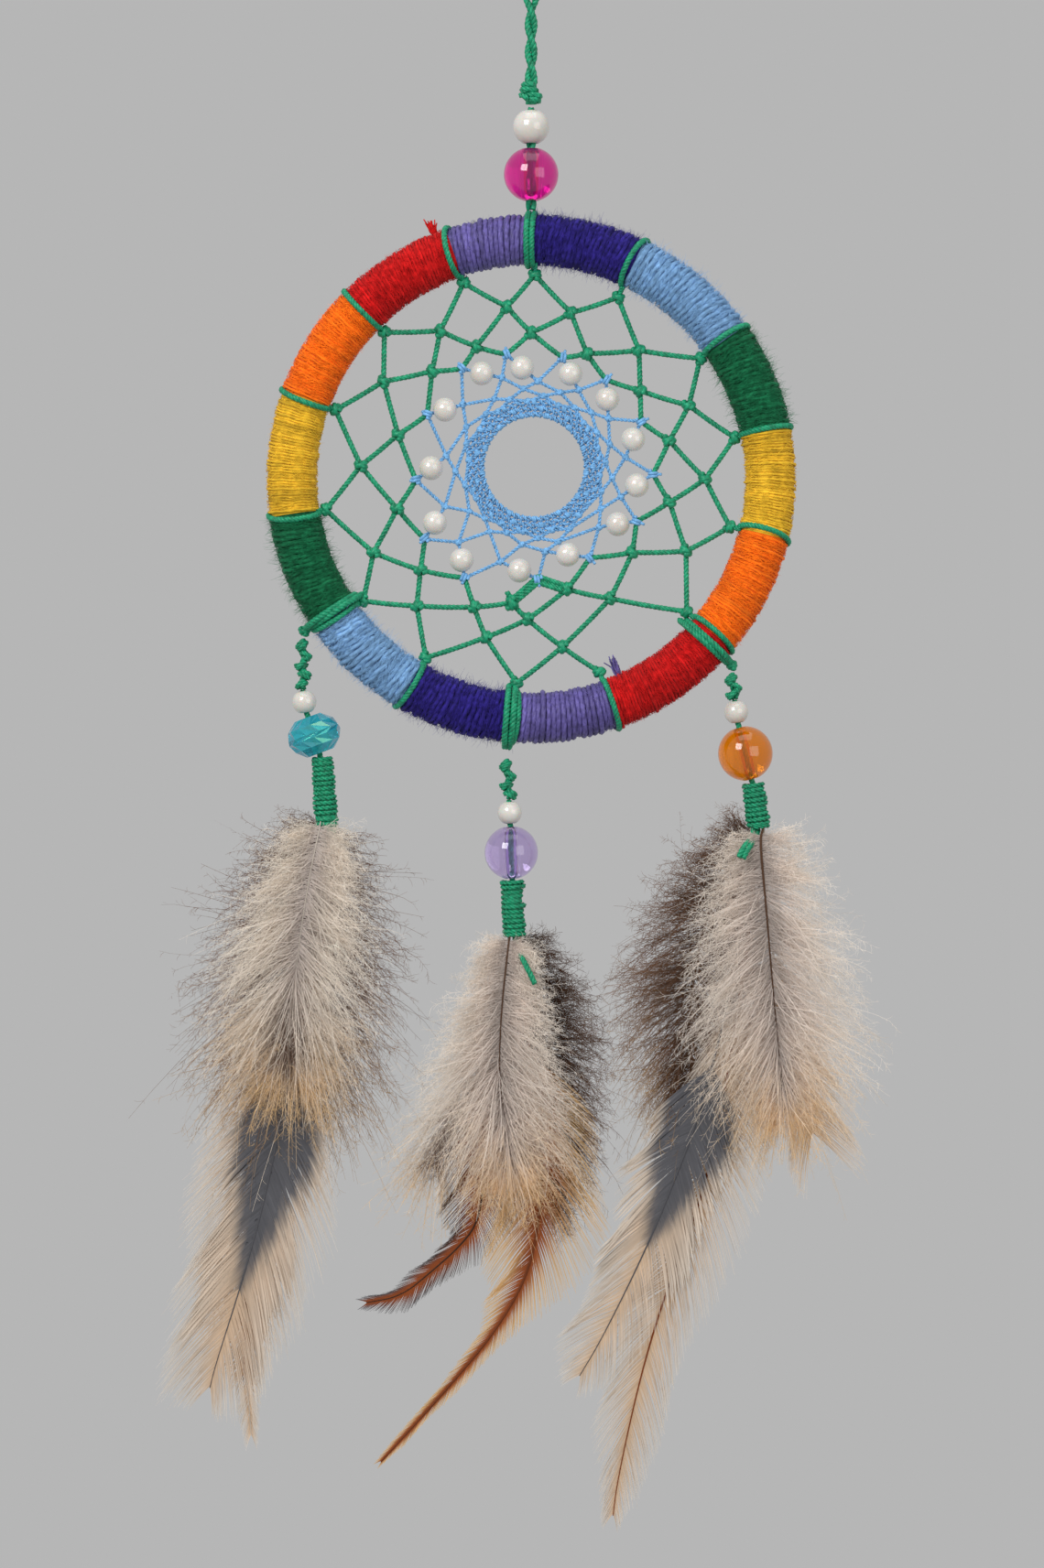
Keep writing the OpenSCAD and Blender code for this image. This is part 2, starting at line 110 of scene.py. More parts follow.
class Build:
    """Collects faces for one mesh, with a colour at each point."""

    def __init__(self):
        self.points, self.faces, self.tints, self.count = [], [], [], 0

    def add(self, points, faces, tint=(1, 1, 1)):
        points = np.asarray(points, float).reshape(-1, 3)
        tint = np.broadcast_to(np.asarray(tint, float), (len(points), 3))
        self.points.append(points)
        self.tints.append(tint)
        self.faces.append(np.asarray(faces, int) + self.count)
        self.count += len(points)

    def tube(self, path, radius, sides=6, tint=(1, 1, 1)):
        path = np.asarray(path, float)
        _, u, v = frames(path)
        r = np.broadcast_to(np.asarray(radius, float), (len(path),))[:, None, None]
        a = np.linspace(0, 2 * math.pi, sides, endpoint=False)
        ring = u[:, None] * np.cos(a)[None, :, None] + v[:, None] * np.sin(a)[None, :, None]
        points = path[:, None] + ring * r
        i, k = np.meshgrid(np.arange(len(path) - 1), np.arange(sides), indexing="ij")
        n = (k + 1) % sides
        quads = np.stack([i * sides + k, i * sides + n, (i + 1) * sides + n, (i + 1) * sides + k], -1)
        # a fan of triangles closes each end
        ends = len(path) * sides
        points = np.vstack([points.reshape(-1, 3), path[:1], path[-1:]])
        k = np.arange(sides)
        n = (k + 1) % sides
        last = (len(path) - 1) * sides
        first_cap = np.stack([k * 0 + ends, n, k, k * 0 + ends], -1)
        last_cap = np.stack([k * 0 + ends + 1, last + k, last + n, k * 0 + ends + 1], -1)
        quads = np.vstack([quads.reshape(-1, 4), first_cap, last_cap])
        self.add(points, quads, tint)

    def plied(self, path, radius, plies=3, pitch=2.2, sides=6, phase=0.0):
        """A cord laid up from plies that wind round each other."""
        path = np.asarray(path, float)
        _, u, v = frames(path)
        along = np.r_[0, np.cumsum(np.linalg.norm(np.diff(path, axis=0), axis=1))]
        ply_r = radius * (0.5 if plies == 2 else 0.53)
        for p in range(plies):
            a = (along / pitch + p / plies + phase) * 2 * math.pi
            line = path + (u * np.cos(a)[:, None] + v * np.sin(a)[:, None]) * (radius - ply_r)
            self.tube(line, ply_r, sides)

    def ribbons(self, lines, width, side, tints):
        """Flat strips. lines is (strips, points, 3), width and tints go with them."""
        n, s, _ = lines.shape
        half = side * (width[..., None] / 2)
        points = np.stack([lines - half, lines + half], axis=2).reshape(-1, 3)
        base = (np.arange(n) * s * 2)[:, None] + (np.arange(s - 1) * 2)[None, :]
        quads = np.stack([base, base + 1, base + 3, base + 2], -1).reshape(-1, 4)
        tint = np.repeat(tints[:, :, None, :], 2, axis=2).reshape(-1, 3)
        self.add(points, quads, tint)

    def object(self, name, material, body, nodes=(), smooth=True):
        points = np.vstack(self.points) * MM
        faces = np.vstack(self.faces)
        mesh = bpy.data.meshes.new(name)
        # a quad whose first and last corner are one point is a triangle
        listed = [f[:3] if f[0] == f[3] else f for f in faces.tolist()]
        mesh.from_pydata(points.tolist(), [], listed)
        tint = mesh.attributes.new("tint", "FLOAT_COLOR", "POINT")
        rgba = np.ones((len(points), 4), np.float32)
        rgba[:, :3] = np.vstack(self.tints)
        tint.data.foreach_set("color", rgba.ravel())
        mesh.polygons.foreach_set("use_smooth", [smooth] * len(mesh.polygons))
        mesh.materials.append(material)
        obj = bpy.data.objects.new(name, mesh)
        bpy.context.scene.collection.objects.link(obj)
        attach(obj, body)
        if nodes:
            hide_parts(*nodes)
        return obj


# ---------------------------------------------------------------- materials

def new_material(name):
    m = bpy.data.materials.new(name)
    m.use_nodes = True
    return m, m.node_tree, m.node_tree.nodes["Principled BSDF"]


def put(node, values):
    """Sets a shader node's inputs."""
    for name, value in values.items():
        node.inputs[name].default_value = value


# The sheen and gloss asked for below are brought down to what the photo shows
SHEEN_SHARE = 0.12
GLOSS_SHARE = 0.6


def linker(tree):
    """A call that joins a node's output to another node's input."""
    return lambda a, out, b, into: tree.links.new(a.outputs[out], b.inputs[into])


def fibre_material(name, colour, scale=900, vary=0.25, rough=0.75, sheen=0.4, bump=0.25, spec=0.3):
    """Yarn, cord or thread: fine streaks of light and dark, sheen, and a fibrous bump."""
    m, tree, shader = new_material(name)
    link = linker(tree)
    where = tree.nodes.new("ShaderNodeTexCoord")
    noise = tree.nodes.new("ShaderNodeTexNoise")
    put(noise, {"Scale": scale, "Detail": 4})
    link(where, "Object", noise, "Vector")
    patch = tree.nodes.new("ShaderNodeTexNoise")
    patch.inputs["Scale"].default_value = scale / 7
    link(where, "Object", patch, "Vector")
    ramp = tree.nodes.new("ShaderNodeValToRGB")
    c = linear(colour)
    ramp.color_ramp.elements[0].position = 0.3
    ramp.color_ramp.elements[0].color = (*(c * (1 - vary)), 1)
    ramp.color_ramp.elements[1].position = 0.72
    ramp.color_ramp.elements[1].color = (*np.minimum(c * (1 + vary) + 0.02 * vary, 1), 1)
    link(noise, "Fac", ramp, "Fac")
    tint = tree.nodes.new("ShaderNodeAttribute")
    tint.attribute_name = "tint"
    times = tree.nodes.new("ShaderNodeMix")
    times.data_type = "RGBA"
    times.blend_type = "MULTIPLY"
    times.inputs["Factor"].default_value = 1
    link(ramp, "Color", times, "A")
    link(tint, "Color", times, "B")
    link(times, "Result", shader, "Base Color")
    rough_range = tree.nodes.new("ShaderNodeMapRange")
    put(rough_range, {"To Min": rough - 0.1, "To Max": rough + 0.12})
    link(patch, "Fac", rough_range, "Value")
    link(rough_range, "Result", shader, "Roughness")
    put(shader, {"Sheen Weight": sheen * SHEEN_SHARE, "Specular IOR Level": spec * GLOSS_SHARE})
    raised = tree.nodes.new("ShaderNodeBump")
    put(raised, {"Strength": bump, "Distance": 0.0001})
    link(noise, "Fac", raised, "Height")
    link(raised, "Normal", shader, "Normal")
    return m


def feather_material():
    """Thin barbs: coloured by the tint, matt, and lit through from behind."""
    m, tree, shader = new_material("feather")
    link = linker(tree)
    tint = tree.nodes.new("ShaderNodeAttribute")
    tint.attribute_name = "tint"
    noise = tree.nodes.new("ShaderNodeTexNoise")
    noise.inputs["Scale"].default_value = 220
    where = tree.nodes.new("ShaderNodeTexCoord")
    link(where, "Object", noise, "Vector")
    value = tree.nodes.new("ShaderNodeMapRange")
    put(value, {"To Min": 0.86, "To Max": 1.14})
    link(noise, "Fac", value, "Value")
    times = tree.nodes.new("ShaderNodeVectorMath")
    times.operation = "SCALE"
    link(tint, "Color", times, 0)
    link(value, "Result", times, "Scale")
    link(times, "Vector", shader, "Base Color")
    put(shader, {"Roughness": 0.62, "Sheen Weight": 0.05, "Specular IOR Level": 0.25})
    through = tree.nodes.new("ShaderNodeBsdfTranslucent")
    link(times, "Vector", through, "Color")
    mix = tree.nodes.new("ShaderNodeMixShader")
    mix.inputs["Fac"].default_value = 0.32
    link(shader, "BSDF", mix, 1)
    link(through, "BSDF", mix, 2)
    link(mix, "Shader", tree.nodes["Material Output"], "Surface")
    return m


def pearl_material():
    m, tree, shader = new_material("pearl")
    link = linker(tree)
    where = tree.nodes.new("ShaderNodeTexCoord")
    noise = tree.nodes.new("ShaderNodeTexNoise")
    noise.inputs["Scale"].default_value = 260
    link(where, "Object", noise, "Vector")
    ramp = tree.nodes.new("ShaderNodeValToRGB")
    ramp.color_ramp.elements[0].color = (*linear((0.76, 0.74, 0.70)), 1)
    ramp.color_ramp.elements[1].color = (*linear((0.86, 0.85, 0.83)), 1)
    link(noise, "Fac", ramp, "Fac")
    link(ramp, "Color", shader, "Base Color")
    put(shader, {
        "Roughness": 0.2, "Coat Weight": 0.7, "Coat Roughness": 0.06, "Subsurface Weight": 0.25,
        "Subsurface Scale": 0.0012,
    })
    return m


def glass_material(name, colour, rough=0.03, weight=0.85, film=0.0):
    m, tree, shader = new_material(name)
    link = linker(tree)
    where = tree.nodes.new("ShaderNodeTexCoord")
    noise = tree.nodes.new("ShaderNodeTexNoise")
    noise.inputs["Scale"].default_value = 350
    link(where, "Object", noise, "Vector")
    ramp = tree.nodes.new("ShaderNodeValToRGB")
    c = linear(colour)
    ramp.color_ramp.elements[0].color = (*(c * 0.88), 1)
    ramp.color_ramp.elements[1].color = (*np.minimum(c * 1.08, 1), 1)
    link(noise, "Fac", ramp, "Fac")
    link(ramp, "Color", shader, "Base Color")
    put(shader, {"Transmission Weight": weight, "Roughness": rough, "IOR": 1.45, "Coat Weight": 0.5})
    if film:
        put(shader, {"Thin Film Thickness": film, "Thin Film IOR": 1.8})
    return m


GREEN = fibre_material("green_cord", (0.0, 0.54, 0.38), 1400, 0.4, 0.42, 0.3, 0.2, 0.6)
BLUE = fibre_material("blue_thread", (0.44, 0.66, 0.84), 1600, 0.25, 0.5, 0.2, 0.2, 0.5)
FEATHER = feather_material()
PEARL = pearl_material()
YARN = {
    "indigo": fibre_material("yarn_indigo", (0.13, 0.08, 0.45), 1100, 0.5, 0.85, 0.5, 0.5),
    "light_blue": fibre_material("yarn_light_blue", (0.46, 0.62, 0.78), 1100, 0.26, 0.85, 0.5, 0.5),
    "green": fibre_material("yarn_green", (0.0, 0.38, 0.23), 1100, 0.4, 0.85, 0.5, 0.5),
    "yellow": fibre_material("yarn_yellow", (0.86, 0.68, 0.15), 1100, 0.22, 0.8, 0.4, 0.4),
    "orange": fibre_material("yarn_orange", (0.98, 0.43, 0.03), 1100, 0.2, 0.9, 0.4, 0.5),
    "red": fibre_material("yarn_red", (0.74, 0.03, 0.03), 1100, 0.3, 0.9, 0.35, 0.5),
    "violet": fibre_material("yarn_violet", (0.35, 0.31, 0.56), 1300, 0.35, 0.45, 0.3, 0.3, 0.5),
}

# ---------------------------------------------------------------- camera, light and plain surroundings

HOOP_MID = mid("hoop_core")
HOOP_R = (low_high("hoop_core")[1] - low_high("hoop_core")[0])[0] / 2 - 2.5
YARN_R = 4.1
CORD_R = 0.5
THREAD_R = 0.325

VIEW_MID = HOOP_MID + np.array([-1.5, 0, -50.0])
VIEW_HEIGHT = 0.257
VIEW_DISTANCE = 1.2


def add_camera():
    data = bpy.data.cameras.new("camera")
    data.sensor_width = 36
    data.lens = 36 * VIEW_DISTANCE / VIEW_HEIGHT
    camera = bpy.data.objects.new("camera", data)
    camera.location = Vector(VIEW_MID * MM) + Vector((0, -VIEW_DISTANCE, 0))
    camera.rotation_euler = (math.pi / 2, 0, 0)
    bpy.context.scene.collection.objects.link(camera)
    bpy.context.scene.camera = camera


def add_light(name, at, size, power):
    data = bpy.data.lights.new(name, "AREA")
    data.shape = "RECTANGLE"
    data.size = size
    data.size_y = size
    data.energy = power
    light = bpy.data.objects.new(name, data)
    light.location = at
    aim = Vector(VIEW_MID * MM) - Vector(at)
    light.rotation_euler = aim.to_track_quat("-Z", "Y").to_euler()
    bpy.context.scene.collection.objects.link(light)


add_camera()
add_light("key", (-0.55, -0.9, 0.45), 0.55, 9.2)
add_light("fill", (0.7, -0.9, 0.05), 0.8, 3.8)
add_light("top", (0.0, -0.2, 1.1), 1.0, 4)
world = bpy.data.worlds.new("world")
world.use_nodes = True
world.node_tree.nodes["Background"].inputs["Color"].default_value = (1.0, 1.0, 1.0, 1)
world.node_tree.nodes["Background"].inputs["Strength"].default_value = 0.468
bpy.context.scene.world = world
bpy.context.scene.view_settings.view_transform = "Standard"

# ---------------------------------------------------------------- the hanging loop, a free cord

# Centre line of one half of the loop, from its top down, in millimetres
LOOP_HALF = [
    (0, 0, 0.5), (1.3, 0, 0.1), (2.4, 0, -1.2), (3, 0, -3.2), (3.1, 0, -5.6), (2.8, 0, -8),
    (2.2, 0, -10.4), (1.5, 0, -12.6), (0.8, 0, -14.6), (0.52, 0, -16.8), (0.52, 0, -19.2),
    (0.52, 0, -21.6), (0.52, 0, -24), (0.52, 0, -26.4), (0.52, 0, -28.6),
]
TWIST_TOP, TWIST_PITCH = -14.6, 9.0


def hanging_loop():
    right = smooth_line(LOOP_HALF, 0.2, 2)
    left = right * (-1, 1, 1)
    both = np.vstack([right[::-1], left[1:]])
    # below the eye the two sides of the loop twist round each other
    z = both[:, 2]
    turn = np.clip(TWIST_TOP - z, 0, None) / TWIST_PITCH * 2 * math.pi
    line = both.copy()
    line[:, 0] = both[:, 0] * np.cos(turn)
    line[:, 1] = both[:, 0] * np.sin(turn)
    build = Build()
    build.plied(line, CORD_R + 0.08, 3, 2.4)
    piece = build.object("hanging_loop_cord", GREEN, "hanger", ["hanging_loop"])


hanging_loop()

# ---------------------------------------------------------------- knots and windings of cord


def coil(build, centre, axis, radius, wire, turns, pitch, phase=0.0, plies=1):
    """A few turns of cord round an axis: the wraps of a knot, or a hitch."""
    axis = unit(np.asarray(axis, float))
    side = unit(np.cross(axis, [0.3, 0.9, 0.2]))
    up = np.cross(axis, side)
    a = np.linspace(0, turns * 2 * math.pi, max(int(turns * 16), 8))
    drift = (a / (2 * math.pi) - turns / 2) * pitch
    line = (
        np.asarray(centre, float)
        + np.outer(np.cos(a + phase), side) * radius
        + np.outer(np.sin(a + phase), up) * radius
        + np.outer(drift, axis)
    )
    if plies > 1:
        build.plied(line, wire, plies, wire * 4.5)
    else:
        build.tube(line, wire, 7)


def lump(build, centre, axis, size, wire):
    """An overhand knot: two crossed coils of cord round the point."""
    axis = unit(np.asarray(axis, float))
    lean = unit(np.cross(axis, [0, 1, 0]) + 1e-6)
    coil(build, centre + axis * size * 0.35, axis + lean * 0.35, size, wire, 1.25, wire * 1.2)
    coil(build, centre - axis * size * 0.35, axis - lean * 0.35, size, wire, 1.25, wire * 1.2, phase=2.0)


def top_knot():
    build = Build()
    for z, side in ((-29.6, -0.25), (-30.9, 0.25)):
        coil(build, (side, 0, z), (0.25, 0.1, 1), 1.1, 0.55, 1.6, 0.8, plies=3, phase=side * 6)
    coil(build, (-0.9, -0.4, -30.9), (0.8, 0.2, 0.9), 0.75, 0.5, 1.2, 0.6, plies=3)
    coil(build, (0.8, -0.3, -31.1), (-0.7, 0.2, 0.8), 0.6, 0.45, 1.2, 0.6, plies=3)
    core = resample([(0, 0, -28.4), (0, 0, -32.1)], 0.3)
    build.tube(core, 0.95, 10)
    build.object("top_knot_turns", GREEN, "hanger", ["top_knot"])


def top_cord():
    low, high = low_high("top_cord")
    build = Build()
    line = resample([(0, 0, high[2] - 0.1), (0, 0, low[2] + 0.2)], 0.2)
    build.plied(line, 0.9, 2, 7, 8)
    build.object("top_cord_strands", GREEN, "top_cord", ["top_cord"])


top_knot()
top_cord()

# ---------------------------------------------------------------- beads and pearls


def lathe(build, profile, centre, axis, side, segments):
    """Adds a closed profile of (radius, height) turned round an axis. side is square to the axis."""
    profile = np.asarray(profile, float)
    up = np.cross(axis, side)
    a = np.linspace(0, 2 * math.pi, segments, endpoint=False)
    ring = np.outer(np.cos(a), side) + np.outer(np.sin(a), up)
    points = centre + ring[None] * profile[:, 0, None, None] + axis * profile[:, 1, None, None]
    i, k = np.meshgrid(np.arange(len(profile)), np.arange(segments), indexing="ij")
    j, n = (i + 1) % len(profile), (k + 1) % segments
    quads = np.stack([i * segments + k, j * segments + k, j * segments + n, i * segments + n], -1)
    build.add(points, quads.reshape(-1, 4))


def turned_bead(name, node, axis, profile, material):
    """A bead on a cord, on the body that has its node's name."""
    axis = unit(np.asarray(axis, float))
    build = Build()
    lathe(build, profile, mid(node), axis, unit(np.cross(axis, [0, 1, 0.01])), 64)
    build.object(name, material, node, [node])


def ball_profile(radius, bore, lip=0.18):
    """A ball with a bore and softened lips, from the top down and back up the bore."""
    start = math.asin((bore + lip) / radius)
    a = np.linspace(start, math.pi - start, 40)
    outside = [(radius * math.sin(x), radius * math.cos(x)) for x in a]
    z = radius * math.cos(start) - lip * 0.5
    return outside + [(bore, -z), (bore, -z / 2), (bore, 0), (bore, z / 2), (bore, z)]


def cut_bead(node, body, axis):
    """A rondelle cut in two rows of facets above and two below a narrow belt."""
    above = [(0.85, 3.0), (2.3, 3.1), (3.9, 1.75), (4.45, 0.35)]
    rows = above + [(r, -z) for r, z in reversed(above)]
    centre = mid(node)
    axis = unit(np.asarray(axis, float))
    side = unit(np.cross(axis, [0, 1, 0.01]))
    up = np.cross(axis, side)
    cuts = 12
    points = []
    for row, (r, z) in enumerate(rows):
        shift = (row % 2) * math.pi / cuts if 0 < row < len(rows) - 1 else 0
        for k in range(cuts):
            a = 2 * math.pi * k / cuts + shift
            points.append(centre + (side * math.cos(a) + up * math.sin(a)) * r + axis * z)
    faces = []
    for i in range(len(rows)):
        j = (i + 1) % len(rows)
        for k in range(cuts):
            n = (k + 1) % cuts
            a, b, c, d = i * cuts + k, j * cuts + k, j * cuts + n, i * cuts + n
            if i % 2:
                faces += [(a, b, d, a), (b, c, d, b)]
            else:
                faces += [(a, b, c, a), (a, c, d, a)]
    build = Build()
    build.add(points, faces)
    glass = glass_material("teal_glass", (0.22, 0.72, 0.80), 0.06, 0.55, 380)
    build.object("teal_cut_bead", glass, body, [node], smooth=False)


def joint_axis(name):
    for joint in frame["joints"]:
        if joint["name"] == name:
            return joint["axis"]
    raise SystemExit(f"no joint {name}")


PINK = glass_material("pink_glass", (0.98, 0.14, 0.66), 0.03, 0.9)
VIOLET = glass_material("violet_glass", (0.84, 0.76, 0.96), 0.03, 0.96)
ORANGE = glass_material("orange_glass", (1.0, 0.58, 0.06), 0.03, 0.78)

turned_bead("top_pearl_ball", "top_pearl", (0, 0, 1), ball_profile(3.0, 1.1), PEARL)
turned_bead("pink_bead_ball", "pink_bead", (0, 0, 1), ball_profile(4.5, 1.25), PINK)
for side in ("left", "middle", "right"):
    node = f"{side}_pearl"
    turned_bead(f"{node}_ball", node, joint_axis(f"{node}_spin"), ball_profile(2.0, 0.75), PEARL)
cut_bead("teal_bead", "teal_bead", joint_axis("teal_bead_spin"))
turned_bead("violet_bead_ball", "violet_bead", joint_axis("violet_bead_spin"),
            ball_profile(4.4, 0.9), VIOLET)
turned_bead("orange_bead_ball", "orange_bead", joint_axis("orange_bead_spin"),
            ball_profile(4.5, 0.9), ORANGE)

# ---------------------------------------------------------------- the wound hoop

# Where each hitch sits on the rim, in degrees clockwise from the top
HITCH_AT = [0, 25.5, 54.5, 78.5, 103.5, 130.5, 160.5, 184, 210.5, 235, 261.5, 289.5, 315, 341]
PENDANT_HITCHES = (5, 7, 9)
WRAPS = [
    ("indigo", "top"), ("light_blue", "top"), ("green", "right"), ("yellow", "right"), ("orange", "right"),
    ("red", "bottom"), ("violet", "bottom"), ("indigo", "bottom"), ("light_blue", "bottom"),
    ("green", "left"), ("yellow", "left"), ("orange", "left"), ("red", "top"), ("violet", "top"),
]
# By colour: width of a yarn turn, height of its fuzz, number of stray fibres, number that lie on the winding
LOOK = {
    "indigo": (0.85, 1.3, 2600, 1300), "light_blue": (0.9, 1.2, 2400, 1200), "green": (0.8, 1.5, 3000, 2600),
    "yellow": (0.45, 0.6, 900, 700), "orange": (0.5, 0.6, 1500, 2400), "red": (0.5, 0.6, 1500, 1500),
    "violet": (0.8, 0.5, 260, 150),
}
TURN_THICK = 0.42  # a turn's radius, and how deep it lies, over its width
FIBRE_POINTS = 5


def on_rim(theta, spin, r):
    """Points on the rim's tube: theta clockwise round the hoop, spin round the tube, r from its middle."""
    theta, spin = np.radians(theta), np.asarray(spin)
    rho = HOOP_R + r * np.cos(spin)
    return np.stack([
        HOOP_MID[0] + rho * np.sin(theta), HOOP_MID[1] + r * np.sin(spin), HOOP_MID[2] + rho * np.cos(theta),
    ], axis=-1)


def yarn_wrap(index):
    colour, place = WRAPS[index]
    width, fuzz, hairs, felt = LOOK[colour]
    a0 = HITCH_AT[index]
    a1 = HITCH_AT[(index + 1) % len(WRAPS)] + (360 if index == len(WRAPS) - 1 else 0)
    margin = 0.3
    arc = math.radians(a1 - a0 - 2 * margin) * HOOP_R
    turns = max(int(arc / width), 4)
    build = Build()
    # a sleeve of inner turns closes the gaps under the outer ones
    under = YARN_R - width * TURN_THICK
    rows, sides = 24, 32
    theta, spin = np.meshgrid(
        np.linspace(a0, a1, rows), np.linspace(0, 2 * math.pi, sides + 1)[:-1], indexing="ij")
    points = on_rim(theta, spin, np.full_like(theta, under))
    i, k = np.meshgrid(np.arange(rows - 1), np.arange(sides), indexing="ij")
    n = (k + 1) % sides
    quads = np.stack([i * sides + k, (i + 1) * sides + k, (i + 1) * sides + n, i * sides + n], -1)
    # painted shade: the sleeve's tint of 0.8 darkens it where it shows in the gaps between the turns
    build.add(points, quads.reshape(-1, 4), (0.8, 0.8, 0.8))
    per_turn = 30
    n = turns * per_turn
    s = np.linspace(0, turns, n)
    wander = np.interp(s, np.arange(turns + 1), rng.normal(0, 0.28, turns + 1))
    half_turns = np.arange(0, turns + 0.5, 0.5)
    high = np.interp(s, half_turns, rng.normal(0, 0.13, len(half_turns)))
    lean = 0.35 * np.sin(s * 2 * math.pi + 0.6)
    theta = a0 + margin + (s + wander * 0.5 + lean) / turns * (a1 - a0 - 2 * margin)
    theta = np.clip(theta, a0 + 0.1, a1 - 0.1)
    strands = 2 if colour != "violet" else 3
    line = on_rim(theta, s * 2 * math.pi, under + high)
    shade = 1 + rng.normal(0, 0.13, n // per_turn + 1)
    tint = np.repeat(np.interp(s, np.arange(len(shade)), shade)[:, None], 3, axis=1)
    _, u, v = frames(line)
    for p in range(strands):
        a = s * 2 * math.pi * 3.5 + p / strands * 2 * math.pi
        ply = line + (u * np.cos(a)[:, None] + v * np.sin(a)[:, None]) * width * 0.17
        build.tube(ply, width * TURN_THICK, 6, np.vstack([np.repeat(tint, 6, axis=0), tint[:1], tint[-1:]]))
    # fibres that lie along and across the turns
    theta = rng.uniform(a0 + 0.6, a1 - 0.6, felt)
    spin = rng.uniform(0, 2 * math.pi, felt)
    way = rng.normal(0, 1, felt)
    reach = rng.uniform(0.5, 1.0, felt)
    steps = np.linspace(-0.5, 0.5, FIBRE_POINTS)[None, :]
    wool = on_rim(
        theta[:, None] + (way * reach * 0.9)[:, None] * steps,
        spin[:, None] + (reach * 0.42)[:, None] * steps,
        YARN_R + 0.02 + 0.22 * np.cos(math.pi * steps) * rng.uniform(0.1, 1, felt)[:, None],
    )
    run = unit(np.gradient(wool, axis=1))
    outward = unit(wool - on_rim(theta, spin, np.zeros(felt))[:, None])
    pale = np.broadcast_to(rng.uniform(0.72, 1.22, (felt, 1, 1)), (felt, FIBRE_POINTS, 3))
    build.ribbons(wool, np.full((felt, FIBRE_POINTS), 0.075), unit(np.cross(run, outward)), pale)
    # stray fibres
    theta = rng.uniform(a0 + margin, a1 - margin, hairs)
    spin = rng.uniform(0, 2 * math.pi, hairs)
    base = on_rim(theta, spin, np.full(hairs, YARN_R - 0.15))
    out = unit(on_rim(theta, spin, np.full(hairs, YARN_R + 1.0)) - base)
    drift = unit(rng.normal(0, 1, (hairs, 3)))
    height = fuzz * rng.uniform(0.3, 1.0, hairs)[:, None]
    t = np.linspace(0, 1, FIBRE_POINTS)[None, :, None]
    bend = unit(rng.normal(0, 1, (hairs, 3)))
    lines = (
        base[:, None] + out[:, None] * (height[:, None] * t * (1.3 - 0.6 * t))
        + drift[:, None] * (height[:, None] * t) * 0.8 + bend[:, None] * (height[:, None] * t * t) * 0.6
    )
    thick = np.broadcast_to(0.045 * (1 - 0.7 * t[..., 0]), (hairs, FIBRE_POINTS))
    side = unit(np.cross(out + drift * 0.3, [0.1, -1.0, 0.2]))[:, None].repeat(FIBRE_POINTS, axis=1)
    tones = np.broadcast_to(rng.uniform(0.85, 1.25, (hairs, 1, 1)), (hairs, FIBRE_POINTS, 3))
    build.ribbons(lines, thick, side, tones)
    node = f"wrap_{colour}_{place}"
    build.object(f"{node}_yarn", YARN[colour], "hoop", [node])


def yarn_end(name, colour, theta, spin, length, strands):
    """The cut end of a winding: a short tuft of fibres that stands off the rim."""
    build = Build()
    base = on_rim(np.array([theta]), np.array([spin]), np.array([YARN_R - 0.3]))[0]
    out = unit(on_rim(np.array([theta]), np.array([spin]), np.array([YARN_R + 1.0]))[0] - base)
    for _ in range(strands):
        spread = rng.normal(0, 0.32, 3)
        tip = base + out * length * rng.uniform(0.75, 1.1) + spread * length * 0.55
        bow = (base + tip) / 2 + rng.normal(0, 0.2, 3)
        line = smooth_line([base + spread * 0.5, bow, tip], 0.25)
        build.tube(line, np.linspace(0.17, 0.1, len(line)), 5, np.full(3, rng.uniform(0.85, 1.2)))
    build.object(name, YARN[colour], "hoop", ())


for index in range(14):
    yarn_wrap(index)
yarn_end("red_yarn_end", "red", 338.5, 0.15, 2.4, 26)
yarn_end("violet_yarn_end", "violet", 156.0, math.pi - 0.2, 3.2, 30)


def hitch(build, theta, lanes, lean, r):
    """Cord taken round the rim: one turn for each lane, side by side, on a slant."""
    for lane in range(lanes):
        offset = (lane - (lanes - 1) / 2) * 1.3
        a = np.linspace(0, 2 * math.pi, 73)
        slant = lean * np.sin(a + 0.3)
        ring = on_rim(theta + offset + slant, a, np.full_like(a, r))
        build.plied(ring, CORD_R + 0.04, 3, 1.9)


def rim_hitches():
    build = Build()
    for i in range(1, len(HITCH_AT)):
        # the hitches with a pendant all lean alike, the others by turns
        lean = 0.9 if i in PENDANT_HITCHES else 0.5 + 0.5 * ((i * 5) % 3)
        hitch(build, HITCH_AT[i], 1, lean, YARN_R + 0.1)
    build.object("rim_hitch_turns", GREEN, "hoop", ["rim_hitches", "hoop_core"])


def top_hitch():
    build = Build()
    hitch(build, HITCH_AT[0], 2, 0.6, YARN_R + 0.25)
    build.object("top_hitch_turns", GREEN, "top_hitch", ["top_hitch"])


rim_hitches()
top_hitch()

# ---------------------------------------------------------------- the web

